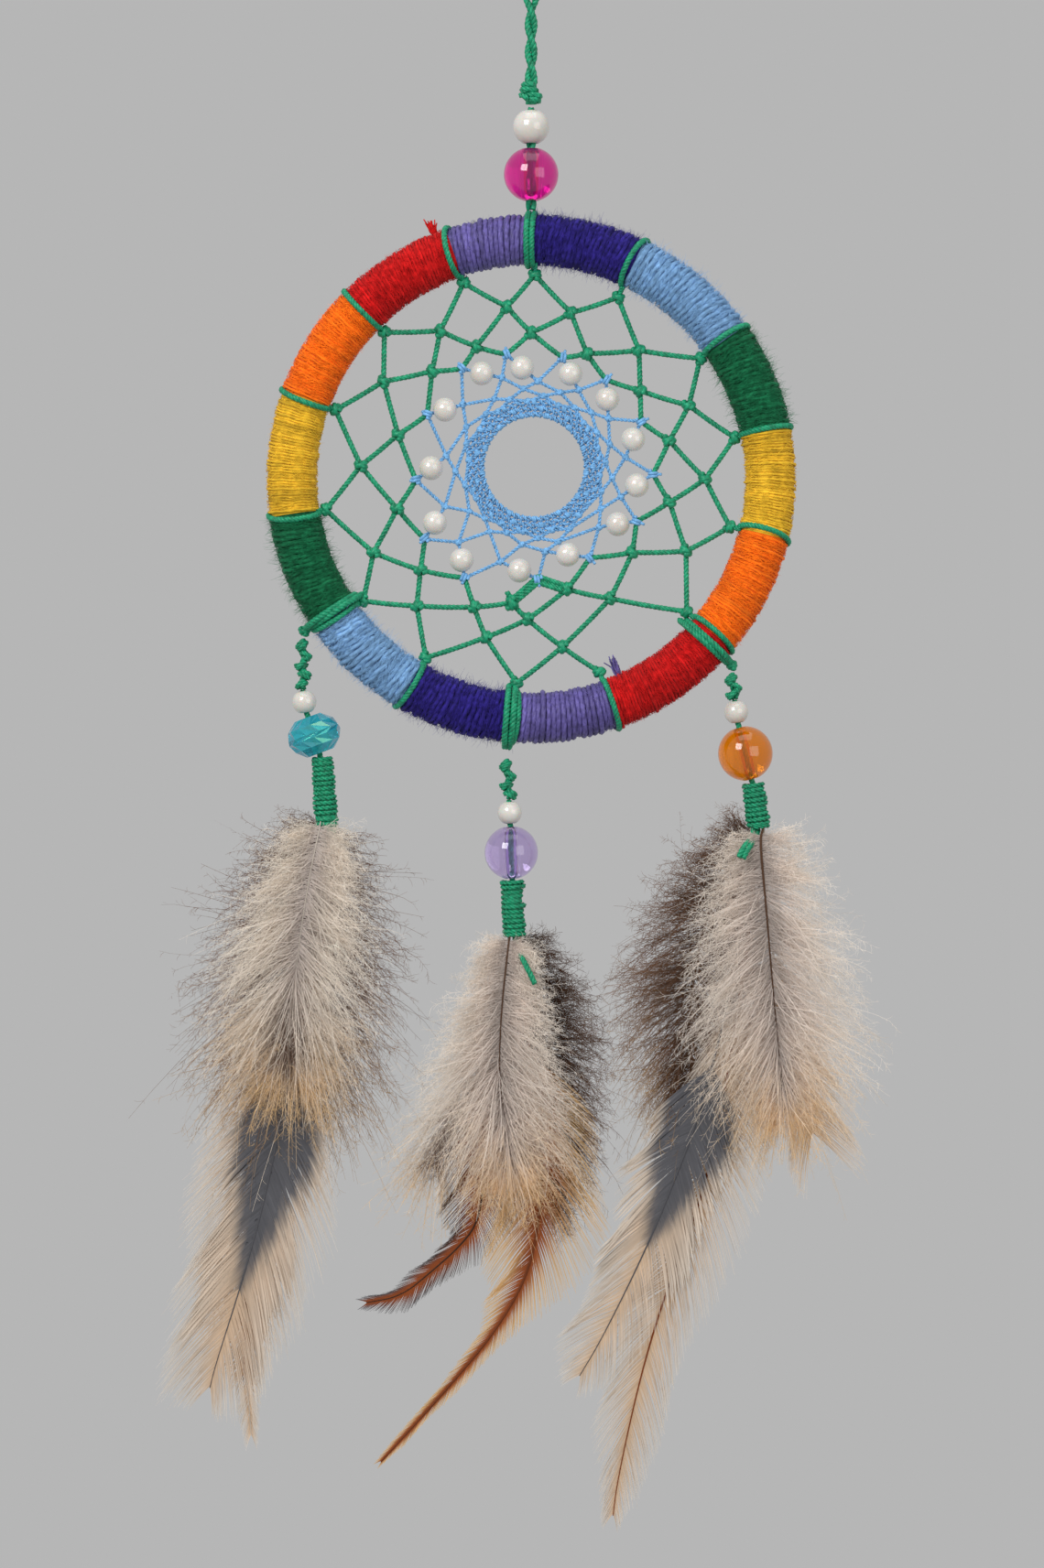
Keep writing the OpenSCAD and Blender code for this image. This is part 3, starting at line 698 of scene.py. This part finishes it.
# Knots of the green cord, as (degrees clockwise from the top, millimetres from the hoop's middle)
RIM_KNOTS = [
    (1, 33.5), (25.5, 33), (54.5, 34), (78.5, 34), (103.5, 33.5), (130.5, 33.5), (160.5, 33.5),
    (184, 33.5), (210.5, 34), (234, 34), (261.5, 34), (289.5, 34), (315, 34), (341, 34),
]
OUTER_KNOTS = [
    (13.5, 28), (40, 27.5), (65, 28.5), (90, 28.5), (115, 28), (146.5, 23.5), (169.5, 28),
    (196, 27), (222, 28), (245, 28.5), (274.5, 28), (303.5, 29), (328.5, 28.5), (352, 28.5),
]
MIDDLE_KNOTS = [
    (24, 22.5), (51, 23), (74.5, 23.5), (99.5, 23), (126, 20.5), (162, 19), (181.5, 23),
    (204, 23), (230.5, 23.5), (257.5, 22.5), (288.5, 23), (317.5, 24), (337.5, 23.5), (0, 24),
]
END_KNOT = (189, 20.5)
# Knots of the blue thread, from the middle of its own net
NET_MID = HOOP_MID + np.array([0.5, 0, 2.0])
TIE_KNOTS = [
    (14.5, 18.5), (39.5, 18.5), (67, 19), (93.5, 19.5), (118, 19), (148.5, 17.5), (178, 18.5),
    (212, 21.5), (236.5, 21.5), (263.5, 19.5), (296, 19.5), (323.5, 20), (346, 19),
]
LOOP_KNOTS = [
    (2.5, 14), (30, 14.5), (57, 14.5), (84, 15), (109, 15), (133, 14.5), (172.5, 14), (199.5, 16.5),
    (225, 17.5), (246, 16), (277, 14.5), (311, 15.5), (340, 15.5),
]
TIES = len(TIE_KNOTS)


def polar(p, centre):
    a = math.radians(p[0])
    return centre + p[1] * np.array([math.sin(a), 0, math.cos(a)])


def on_hoop(p):
    return polar(p, HOOP_MID)


def in_net(p):
    return polar(p, NET_MID)


def web_cord():
    """One cord that runs inward in a spiral of three rounds, looped and knotted at each turn."""
    order = [*range(6, 14), *range(0, 6)]
    rows = [on_hoop(p) for i in order for p in (RIM_KNOTS[i], OUTER_KNOTS[i])]
    rows += [on_hoop(p) for i in order for p in (OUTER_KNOTS[i], MIDDLE_KNOTS[i])]
    rows += [on_hoop(MIDDLE_KNOTS[6]), on_hoop(END_KNOT)]
    for i in range(7, 13):
        rows += [on_hoop(MIDDLE_KNOTS[i]), in_net(TIE_KNOTS[i])]
    rows += [on_hoop(MIDDLE_KNOTS[13]), in_net(TIE_KNOTS[0])]
    for i in range(6):
        rows += [on_hoop(MIDDLE_KNOTS[i]), in_net(TIE_KNOTS[i + 1])]
    rows += [on_hoop(END_KNOT)]
    build = Build()
    r = CORD_R * 0.95
    for a, b in zip(rows[:-1], rows[1:]):
        span = np.linalg.norm(b - a)
        if span < 0.1:
            continue
        line = resample([a, b], 0.28)
        t = np.linspace(0, 1, len(line))
        line[:, 1] += np.sin(t * math.pi) * rng.normal(0, 0.12)
        line[:, 2] -= np.sin(t * math.pi) * 0.12
        build.plied(line, r, 3, 2.1, 6, phase=rng.uniform(0, 1))
    knots = [on_hoop(p) for p in OUTER_KNOTS + MIDDLE_KNOTS]
    for k in knots:
        away = k - HOOP_MID
        lump(build, k + (0, -0.15, 0), np.array([away[2], 0, -away[0]]) + rng.normal(0, 0.3, 3), 0.74, 0.46)
    for i, p in enumerate(RIM_KNOTS):
        k = on_hoop(p)
        away = unit(k - HOOP_MID)
        build.plied(resample([k, k + away * 1.8 + (0, -1.4, 0)], 0.25), r, 3, 2.0)
        build.plied(resample([k, k + away * 1.8 + (0, 1.4, 0)], 0.25), r, 3, 2.0)
        lump(build, k, away, 0.7, 0.46)
    # the doubled band between the last knot and the tied-off end
    last, end = on_hoop(MIDDLE_KNOTS[5]), on_hoop(END_KNOT)
    low = in_net(TIE_KNOTS[6])
    for shift in (-0.5, 0.5):
        strand = [last + (0, -0.2, shift), low + (0, -0.2, shift), end + (0, 0, shift)]
        build.plied(resample(strand, 0.28), r, 3, 2.1)
    lump(build, end, (1, 0, 0.4), 0.85, 0.5)
    build.plied(resample([end, end + (-0.7, -0.5, 1.7)], 0.25), 0.5, 3, 2)
    build.object("web_cord_net", GREEN, "hoop", ["web_cord"])


def blue_web():
    """Long loops with a pearl on each, rounds that close in, and a braided centre ring."""
    build = Build()
    r = THREAD_R * 1.05

    def span(a, b):
        build.plied(resample([a, b], 0.24), r, 2, 1.3, 6, phase=rng.uniform(0, 1))

    rounds = [[in_net(p) for p in LOOP_KNOTS]]
    for i in range(TIES):
        tie, knot, before = in_net(TIE_KNOTS[i]), rounds[0][i], in_net(TIE_KNOTS[i - 1])
        span(tie, knot)
        span(knot, before)
        out = unit(tie - NET_MID)
        lump(build, knot, np.cross(out, [0, 1, 0]), 0.36, 0.27)
        coil(build, tie, np.cross(out, [0, 1, 0]), 0.62, 0.27, 2.2, 0.5)
        build.tube(resample([tie, tie + out * 1.2 + (0.2, -0.4, 0)], 0.3), 0.26, 6)
    # each round is drawn in and turned back by part of a mesh
    for turn, radius in ((10.5, 12.9), (12.0, 11.7), (13.0, 10.8)):
        last = rounds[-1]
        angles = [math.degrees(math.atan2((k - NET_MID)[0], (k - NET_MID)[2])) for k in last]
        this = [in_net((a - turn, radius)) for a in angles]
        for i in range(TIES):
            span(last[i], this[i])
            span(this[i], last[i - 1])
            lump(build, this[i], np.cross(unit(this[i] - NET_MID), [0, 1, 0]), 0.3, 0.25)
        rounds.append(this)
    # the closing rings are chains of small hitches
    meshes = 26
    a = np.linspace(0, 2 * math.pi, meshes * 16 + 1)
    for ring, (radius, depth) in enumerate(((10.6, 0.36), (9.6, 0.34), (8.6, 0.32))):
        for phase in (0, math.pi):
            wave = radius + depth * np.sin(a * meshes + phase + ring)
            line = np.stack([
                NET_MID[0] + wave * np.sin(a),
                0.32 * np.cos(a * meshes + phase + ring),
                NET_MID[2] + wave * np.cos(a),
            ], axis=1)
            build.plied(line, r * 0.88, 2, 1.2, 5)
        for k in range(0, meshes, 2):
            angle = 360 / meshes * (k + 0.5 * ring)
            p = in_net((angle, radius))
            coil(build, p, np.cross(unit(p - NET_MID), [0, 1, 0]), 0.34, 0.22, 1.5, 0.3)
    build.object("blue_thread_net", BLUE, "hoop", ["blue_web"])


def web_pearls():
    build = Build()
    profile = ball_profile(2.0, 0.475, 0.12)
    for i in range(TIES):
        knot, before = in_net(LOOP_KNOTS[i]), in_net(TIE_KNOTS[i - 1])
        axis = unit(knot - before)
        side = unit(np.cross(axis, [0, 1, 0]))
        lathe(build, profile, (knot + before) / 2, axis, side, 40)
    build.object("web_pearl_balls", PEARL, "hoop", ["web_pearls"])


web_cord()
blue_web()
web_pearls()

# ---------------------------------------------------------------- pendants: knots, cord and binding

# Middle line of each pendant's cord, in millimetres from its pivot: knots, pearl, bead, binding, tail
ROUTES = {
    "left": [(0, 0, 0), (-0.2, 0, -9.8), (0.3, 0, -13.5), (3, 0, -20.7), (3.6, 0, -31), (3.8, -0.9, -34)],
    "middle": [
        (0, 0, 0), (0.4, 0, -8.1), (0.6, 0, -12.1), (0.9, 0, -21.2), (1.3, 0, -30.4),
        (1.6, -1.6, -32.2), (3, -5.2, -34.6), (4.6, -5.4, -38),
    ],
    "right": [
        (0, 0, 0), (0.6, 0, -5.8), (1, 0, -9.6), (3.6, 0, -19.4), (4.5, 0, -26.8),
        (4, -1.6, -28.4), (2.4, -5.2, -30.4), (1.8, -5.4, -31.6),
    ],
}


def swing_point(side):
    for joint in frame["joints"]:
        if joint["name"] == f"{side}_swing":
            return np.array(joint["pos_m"]) / MM
    raise SystemExit(f"no swing for {side}")


def pendant(side):
    pivot = swing_point(side)
    route = [pivot + np.array(p, float) for p in ROUTES[side]]
    # the band that comes over the rim down to the first knot
    band = Build()
    away = unit(pivot - HOOP_MID)
    inner = HOOP_MID + away * (HOOP_R - 5.2)
    for shift in (-0.55, 0.55):
        over = [
            inner + (shift, 0, 0), HOOP_MID + away * (HOOP_R - 3.5) + (shift, -3.4, 0),
            HOOP_MID + away * HOOP_R + (shift, -5.1, 0), HOOP_MID + away * (HOOP_R + 3.4) + (shift, -3.6, 0),
            pivot + away * -0.6 + (shift * 0.6, -0.3, 0),
        ]
        band.plied(smooth_line(over, 0.25), 0.58, 3, 2.2, phase=shift)
    band.object(f"{side}_rim_band", GREEN, "hoop", ())
    if side != "middle":
        first = Build()
        lump(first, pivot, (0, 0, 1), 0.58, 0.42)
        first.tube(resample([pivot + (0, 0, 0.8), pivot + (0, 0, -0.8)], 0.2), 0.5, 8)
        node = f"{side}_first_knot"
        first.object(f"{node}_turns", GREEN, node, [node])
    # the run of knots: each one leans the other way from the last
    low, high = low_high(f"{side}_knots")
    top, end = high[2], low[2]
    run = Build()
    along = unit(route[1] - route[0])
    count = max(int(round((top - end) / 1.55)), 3)
    for k in range(count):
        at = route[0] + along * ((route[0][2] - top) + 1.25 + (top - end - 2.0) * k / (count - 1))
        lean = 0.75 if k % 2 else -0.75
        at = at + (lean * 0.38, -0.12, 0)
        coil(run, at, (lean, 0.15, 1.0), 0.78, 0.47, 1.5, 0.55, plies=3, phase=k * 2.0)
    run_ends = [route[0] + along * (route[0][2] - top + 0.35), route[0] + along * (route[0][2] - end)]
    run.plied(resample(run_ends, 0.25), 0.62, 2, 3)
    run.object(f"{side}_knot_turns", GREEN, f"{side}_knots", [f"{side}_knots"])
    # the core cord and its tail
    line = smooth_line(route[1:], 0.2, 3)
    core = Build()
    tail = line[line[:, 2] < route[4][2] + 1]
    core.plied(line, CORD_R, 3, 2.2)
    if side == "right":
        core.plied(tail + (-0.75, -0.1, 0.2), CORD_R, 3, 2.2)
    if side == "left":
        for k, z in enumerate((-0.3, -1.3, -2.2)):
            coil(core, route[4] + (0.1, 0, z), (0.1, 0, 1), 1.5 - 0.22 * k, 0.5, 1.6, 0.8, plies=3, phase=k)
    core.object(f"{side}_core_cord", GREEN, f"{side}_tuft", [f"{side}_cord"])
    # the binding: thread wound closely over the cord and the quills
    a, b = route[3], route[4]
    axis = unit(b - a)
    height = np.linalg.norm(b - a)
    wire = 0.42
    turns = height / (wire * 1.9)
    wound = Build()
    n = int(turns * 28)
    s = np.linspace(0, turns, n)
    spin = s * 2 * math.pi
    sidew = unit(np.cross(axis, [0, 1, 0.02]))
    up = np.cross(axis, sidew)
    r = 1.55 + 0.14 * np.interp(s, np.arange(int(turns) + 2), rng.normal(0, 1, int(turns) + 2))
    lean = 0.22 * np.sin(spin + 0.8)
    line = a + np.outer(np.cos(spin) * r, sidew) + np.outer(np.sin(spin) * r, up) + np.outer(
        np.clip(s / turns * height + lean, 0.3, height - 0.3), axis)
    wound.plied(line, wire, 2, 1.6, 6)
    # a ridge where each turn is hitched over the last
    ridge = rng.uniform(0.9, 1.1)
    for k in range(int(turns)):
        at = a + axis * (height * (k + 0.5) / turns) + sidew * -1.35 * ridge + up * -1.0
        coil(wound, at, (0.3, 0.4, 1), 0.32, 0.26, 1.3, 0.3, phase=k)
    sleeve = resample([a + axis * 0.2, b - axis * 0.2], 0.6)
    wound.tube(sleeve, 1.42, 20)
    wound.object(f"{side}_binding_turns", GREEN, f"{side}_tuft", [f"{side}_binding"])


for side in ("left", "middle", "right"):
    pendant(side)

# ---------------------------------------------------------------- feathers

CREAM = linear((0.91, 0.87, 0.82))
PINKISH = linear((0.84, 0.79, 0.76))
GOLDEN = linear((0.82, 0.68, 0.48))
BROWN = linear((0.41, 0.29, 0.21))
DARK_BROWN = linear((0.27, 0.17, 0.11))
SLATE = linear((0.40, 0.40, 0.42))
RUST = linear((0.62, 0.31, 0.13))
PEACH = linear((0.84, 0.70, 0.55))
GREY = linear((0.66, 0.61, 0.58))


# How far the down may stand off to the front and back
TUFT_DEPTH = 12.0


def blend_tones(a, b, f):
    f = np.clip(f, 0, 1)[..., None]
    return a * (1 - f) + b * f


def mount_quill(side):
    """The lower end of a binding, where its quills come out, in millimetres."""
    return swing_point(side) + np.array(ROUTES[side][4], float)


def rachis_line(side, seat, layer, points):
    """A feather's shaft: from inside the binding, out of it, and along the vane."""
    foot = mount_quill(side)
    out = 0.92 * np.array([math.cos(math.radians(seat)), math.sin(math.radians(seat)), 0])
    up = unit(np.array(ROUTES[side][3], float) - np.array(ROUTES[side][4], float))
    line = [foot + out + up * 4, foot + out]
    line += [np.array([foot[0] + x, layer, foot[2] + z]) for x, z in points]
    return smooth_line(line, 0.5, 3)


def flatten(points):
    """Keeps a tuft from spreading further than its depth to the front and back."""
    out = points.copy()
    out[..., 1] = TUFT_DEPTH * np.tanh(points[..., 1] / TUFT_DEPTH)
    return out


# Points along a barb, spreads of its angle, lift and bend, its sag, spread of shade and least cosine
BARBS = {"down": (11, 16, 0.30, 0.26, 0.12, 0.09, 0.86), "vane": (9, 1.6, 0.03, 0.012, 0.02, 0.07, 0.35)}
DOWN_CLUMPS = 22
VANE_SPLITS = 14
BARBULES = 20  # on each barb of down
# Widths of a barb at its root. Thick ones, up to a distance from the shaft, close a dense part of a vane.
DOWN_BARB, VANE_BARB, DENSE_BARB, THINNEST_BARB = 0.12, 0.17, 0.27, 0.03
DENSE_REACH = 7


def feather(name, side, seat, layer, points, widths, tone, kind, count, start=0.0,
            shaft=(0.32, 0.07), shaft_tone=CREAM, lift=0.0, angles=(35, 60), dense=0.0):
    """A feather built barb by barb. kind is "down", loose and downy, or "vane", flat and combed.

    seat is the quill's place round the cord in degrees, layer the shaft's Y, and points its (x, z) from the
    quill's foot. widths are half widths along the vane, to its tip. tone(t, s, across) gives a barb's tint.
    count barbs on each side begin at start, a part of the vane's length. lift turns them to the back, and
    angles are theirs at its two ends, as shaft holds its radii. Before dense, the barbs of a vane are thick.
    """
    line = rachis_line(side, seat, layer, points)
    foot_z = mount_quill(side)[2]
    vane = line[line[:, 2] < foot_z + points[0][1] + 0.5]
    build = Build()
    taper = np.linspace(shaft[0], shaft[1], len(line))
    build.tube(line, taper, 6, shaft_tone * 0.8)
    tangent = unit(np.gradient(vane, axis=0))
    down = kind == "down"
    segs, angle_spread, lift_spread, bend_spread, sag, shade_spread, least_cos = BARBS[kind]
    s = np.linspace(0, 1, segs)[None, :]
    for hand in (-1, 1):
        t = np.sort(rng.uniform(start, 1, count)) if down else np.linspace(start, 0.995, count)
        if not down:
            t = np.clip(t + rng.normal(0, 0.15 / count, count), 0, 1)
        at = t * (len(vane) - 1)
        i0 = np.clip(at.astype(int), 0, len(vane) - 2)
        f = (at - i0)[:, None]
        base = vane[i0] * (1 - f) + vane[i0 + 1] * f
        tip_way = unit(tangent[i0] * (1 - f) + tangent[i0 + 1] * f)
        across = unit(np.cross(tip_way, [0, 1, 0])) * hand
        half = np.interp(t, np.linspace(0, 1, len(widths)), widths)
        angle = np.radians(np.interp(t, [0, 1], angles) + rng.normal(0, angle_spread, count))
        if down:
            # the down hangs in clumps, which part from each other
            clumps = rng.normal(0, 0.16, DOWN_CLUMPS)
            angle = angle + np.interp(t, np.linspace(0, 1, DOWN_CLUMPS), clumps)
        reach = half / np.maximum(np.cos(angle), least_cos)
        reach = reach * (rng.uniform(0.5, 1.04, count) if down else 1 + rng.normal(0, 0.05, count))
        # now and then the vane splits, and the barbs beside the split turn apart
        if not down:
            splits = rng.normal(0, 0.10, VANE_SPLITS)
            angle = angle + np.interp(t, np.linspace(0, 1, VANE_SPLITS), splits)
        out = across * np.cos(angle)[:, None] + tip_way * np.sin(angle)[:, None]
        toward = rng.normal(lift, lift_spread, count)[:, None]
        if down:
            # the tuft is thinner near the binding than lower down
            toward = toward * (0.12 + 0.88 * np.clip(t * 2.5, 0, 1))[:, None]
        curl = rng.normal(0.1, 0.22, count)[:, None] if down else np.full((count, 1), 0.24)
        wave = unit(rng.normal(0, 1, (count, 3)))
        bend = rng.normal(0, bend_spread, count)[:, None]
        phase = rng.uniform(0, 6.28, count)[:, None]
        sx = s[..., None]
        length = reach[:, None, None]
        depth = toward[:, None] * (sx if down else sx * sx)
        lines = (
            base[:, None] + length * (
                out[:, None] * sx + tip_way[:, None] * (curl[:, None] * sx * sx)
                + np.array([0, 1.0, 0]) * depth
                + np.array([0, 0, -1.0]) * sag * sx * sx
                + wave[:, None] * (bend[:, None] * np.sin(3.5 * sx + phase[:, None]) * sx)
            )
        )
        lines = flatten(lines)
        if down:
            thick = DOWN_BARB * (1 - 0.72 * s) * np.ones((count, 1))
        else:
            thick = VANE_BARB * (1 - 0.8 * s ** 0.8) * np.ones((count, 1)) * (half[:, None] > 0.3)
            packed = (t[:, None] < dense) & (half[:, None] * s < DENSE_REACH)
            thick = np.where(packed, DENSE_BARB, np.maximum(thick, THINNEST_BARB))
        flat = unit(np.cross(out, [0, 1, 0]))
        if down:
            flat = unit(flat + rng.normal(0, 0.5, (count, 3)))
        side_way = np.repeat(flat[:, None], segs, axis=1)
        shade = rng.normal(1, shade_spread, count)[:, None, None]
        tones = tone(t[:, None] + 0 * s, s + 0 * t[:, None], half[:, None] * s) * shade
        build.ribbons(lines, thick, side_way, np.clip(tones, 0, 1))
        if down:
            # barbules: fine hairs down both sides of each barb
            per = BARBULES
            where = rng.uniform(0.08, 0.98, (count, per)) * (segs - 1)
            j0 = np.clip(where.astype(int), 0, segs - 2)
            g = (where - j0)[..., None]
            rows = np.arange(count)[:, None]
            root = lines[rows, j0] * (1 - g) + lines[rows, j0 + 1] * g
            ahead = unit(lines[rows, j0 + 1] - lines[rows, j0])
            aside = unit(np.cross(ahead, rng.normal(0, 1, (count, per, 3))))
            hair = rng.uniform(0.5, 1.7, (count, per, 1))
            tip = root + (aside * 0.85 + ahead * 0.5 + np.array([0, 0, -0.15])) * hair
            middle = (root + tip) / 2 + ahead * 0.12 * hair
            hairs = flatten(np.stack([root, middle, tip], axis=2).reshape(-1, 3, 3))
            m = len(hairs)
            tint = tones[rows, j0].reshape(-1, 1, 3).repeat(3, axis=1)
            width = np.broadcast_to(np.array([0.05, 0.04, 0.015]), (m, 3))
            flat2 = unit(np.cross(aside.reshape(-1, 3), [0.2, 1, 0.1]))[:, None].repeat(3, axis=1)
            build.ribbons(hairs, width, flat2, np.clip(tint * 1.06, 0, 1))
    build.object(name + "_barbs", FEATHER, f"{side}_tuft", [name], smooth=False)


def cream_down_tone(t, s, across):
    base = blend_tones(PINKISH * 0.85, CREAM, s * 2.2)
    low = np.clip((t - 0.62) * 3.2, 0, 1)
    base = blend_tones(base, BROWN * 1.1, low * np.clip(1.25 - s * 1.5, 0, 1))
    return blend_tones(base, GOLDEN * 1.1, low * np.clip(s * 2 - 0.7, 0, 1))


def grey_down_tone(t, s, across):
    base = blend_tones(GREY, PINKISH * 1.08, s * 2.4 + t * 0.3)
    low = np.clip((t - 0.6) * 2.6, 0, 1)
    return blend_tones(blend_tones(base, CREAM, s), GOLDEN * 1.15, low * np.clip(s * 1.6 - 0.3, 0, 1))


def brown_down_tone(t, s, across):
    base = blend_tones(BROWN * 0.8, BROWN * 1.3, s)
    return blend_tones(base, GOLDEN, np.clip((t - 0.45) * 2, 0, 1) * np.clip(s * 2 - 1, 0, 1))


def dark_down_tone(t, s, across):
    return blend_tones(DARK_BROWN, BROWN * 1.1, s * 0.9 * (0.3 + t))


def slate_tone(edge0, edge1, until):
    """Slate near the shaft in a V that closes at until, and cream outside it."""
    def tone(t, s, across):
        edge = np.interp(t, [0, until * 0.55, until, 1], [edge0, edge0, edge1, 0])
        inside = 1 / (1 + np.exp((across - edge) * 4.0))
        inside = np.where(t > until, 0, inside)
        pale = blend_tones(PEACH * 0.92, CREAM * 0.85, 0.2 + 0.8 * s)
        return blend_tones(pale, SLATE * (0.8 + 0.3 * s[..., None]), inside)
    return tone


def cream_vane_tone(t, s, across):
    return blend_tones(PEACH * 0.88, CREAM * 0.85, 0.1 + 0.9 * s)


def peach_tone(t, s, across):
    return blend_tones(PEACH * 0.92, CREAM, s * 0.8)


def rust_tone(t, s, across):
    warm = blend_tones(RUST, GOLDEN * 1.1, np.clip(s * 1.9 - 0.1 - t * 0.5, 0, 1))
    return blend_tones(warm, DARK_BROWN, np.clip(0.5 - s, 0, 1) * 0.5)


def short_rust_tone(t, s, across):
    return blend_tones(RUST * 0.8, blend_tones(DARK_BROWN, SLATE, t * 2 - 1), np.clip(s * 1.7 - 0.5, 0, 1))


LAYER = 1.15

# left tuft
feather("left_brown_down", "left", 90, 3.6, [(-1, -1), (-2.6, -11), (-4.6, -24), (-5.4, -34), (-6, -44)],
        [8, 17, 20, 18, 10], brown_down_tone, "down", 900, shaft_tone=BROWN, lift=0.1,
        angles=(0, 62))
feather("left_slate_feather", "left", 150, -LAYER,
        [(-2.4, -14), (-6, -42), (-9.5, -60), (-13.5, -75), (-18, -89), (-19, -93)],
        [2, 8, 10, 11.5, 10.5, 8, 2], slate_tone(6.5, 0.4, 0.79), "vane", 300, 0.36,
        shaft_tone=SLATE, angles=(38, 58), dense=0.77)
feather("left_peach_feather", "left", 30, 0.2,
        [(1.4, -14), (-6, -40), (-10.5, -56), (-13, -74), (-13.4, -88), (-13.6, -91)],
        [2, 8, 11, 10, 8, 5, 1.5], peach_tone, "vane", 300, 0.15, shaft_tone=RUST,
        angles=(36, 60))
feather("left_slim_feather", "left", 330, LAYER,
        [(0.4, -14), (-8.5, -46), (-13, -84), (-13, -92), (-12.3, -101)],
        [1, 4, 5, 4.5, 4.2, 2.6, 1], cream_vane_tone, "vane", 300, 0.2, angles=(40, 62))
feather("left_cream_down", "left", 210, -3.8, [(-1, -1.5), (-3, -11), (-4.8, -24), (-5.6, -32), (-6, -39)],
        [6, 12, 15.5, 15, 9], cream_down_tone, "down", 950, lift=-0.15, angles=(0, 66),
        shaft=(0.12, 0.05))

# middle tuft
feather("middle_brown_down", "middle", 90, 3.6, [(1, -1), (4.5, -9), (6.5, -22), (6.8, -36), (6, -44)],
        [6, 10, 10, 8, 5], dark_down_tone, "down", 750, shaft_tone=DARK_BROWN, lift=-0.1,
        angles=(0, 60))
feather("middle_wispy_feather", "middle", 150, LAYER, [(-1.6, -8), (-6, -18), (-10, -28), (-13.5, -37)],
        [3, 8, 12, 9], cream_down_tone, "down", 260, angles=(25, 60))
feather("middle_short_rust_feather", "middle", 30, 0,
        [(-0.4, -12), (-3.6, -26), (-5, -40), (-6, -47),
         (-9.2, -51), (-13.5, -54.8), (-18.6, -59), (-24.3, -60)],
        [1, 6, 8, 6, 3.4, 2.4, 2, 0.8], short_rust_tone, "vane", 330, 0.15,
        shaft_tone=DARK_BROWN,
        angles=(40, 60))
feather("middle_long_rust_feather", "middle", 330, -LAYER,
        [(1.4, -12), (4.5, -32), (4.4, -44), (2.4, -55), (-3, -64.5), (-11, -74), (-21.9, -86)],
        [3, 8, 10, 8, 4.4, 2.0, 1.5, 1.0, 0.5], rust_tone, "vane", 420, 0.1,
        shaft=(0.36, 0.1),
        shaft_tone=RUST * 0.7, angles=(38, 68))
feather("middle_cream_down", "middle", 210, -3.8,
        [(-1, -1), (-2.2, -12), (-2.6, -23), (-1.4, -31), (-0.6, -37)],
        [5, 9, 14, 13, 8], grey_down_tone, "down", 950, lift=-0.15, shaft_tone=BROWN,
        angles=(4, 62), shaft=(0.16, 0.05))

# right tuft
feather("right_brown_down", "right", 90, 3.6, [(-1.6, -1), (-8, -12), (-11, -26), (-11.5, -38), (-9.5, -48)],
        [6, 12, 15, 13, 6], brown_down_tone, "down", 900, shaft_tone=BROWN, angles=(0, 60))
feather("right_slate_feather", "right", 150, -1.5,
        [(-2, -14), (-8.6, -44), (-16, -63), (-20, -72), (-26, -84), (-29.4, -89.6)],
        [2, 8, 9, 8, 7, 5.5, 1.5], slate_tone(6.5, 0.4, 0.70), "vane", 290, 0.32,
        shaft_tone=SLATE, angles=(38, 58), dense=0.67)
feather("right_long_feather", "right", 210, -0.6,
        [(-1, -14), (-6.3, -48), (-10, -62.5), (-14, -72.5),
         (-17.5, -83), (-20.3, -93.5), (-23.2, -107), (-23.9, -112.6)],
        [2, 6, 8, 7.5, 7, 6, 5, 3.6, 1], cream_vane_tone, "vane", 430, 0.15,
        shaft=(0.36, 0.08), shaft_tone=RUST * 0.9, angles=(40, 64))
feather("right_peach_feather", "right", 30, LAYER, [(1.6, -14), (4, -34), (6.5, -42), (8.8, -50)],
        [2, 6, 7, 4], peach_tone, "vane", 190, 0.2, angles=(36, 62))
feather("right_cream_down", "right", 330, -3.8, [(0, -1.5), (1, -12), (2, -24), (3, -35), (4, -44)],
        [7, 14, 17, 15, 8], grey_down_tone, "down", 950, lift=-0.15, shaft_tone=BROWN,
        shaft=(0.24, 0.04), angles=(0, 60))

# ---------------------------------------------------------------- the scene brought up to date

bpy.context.view_layer.update()
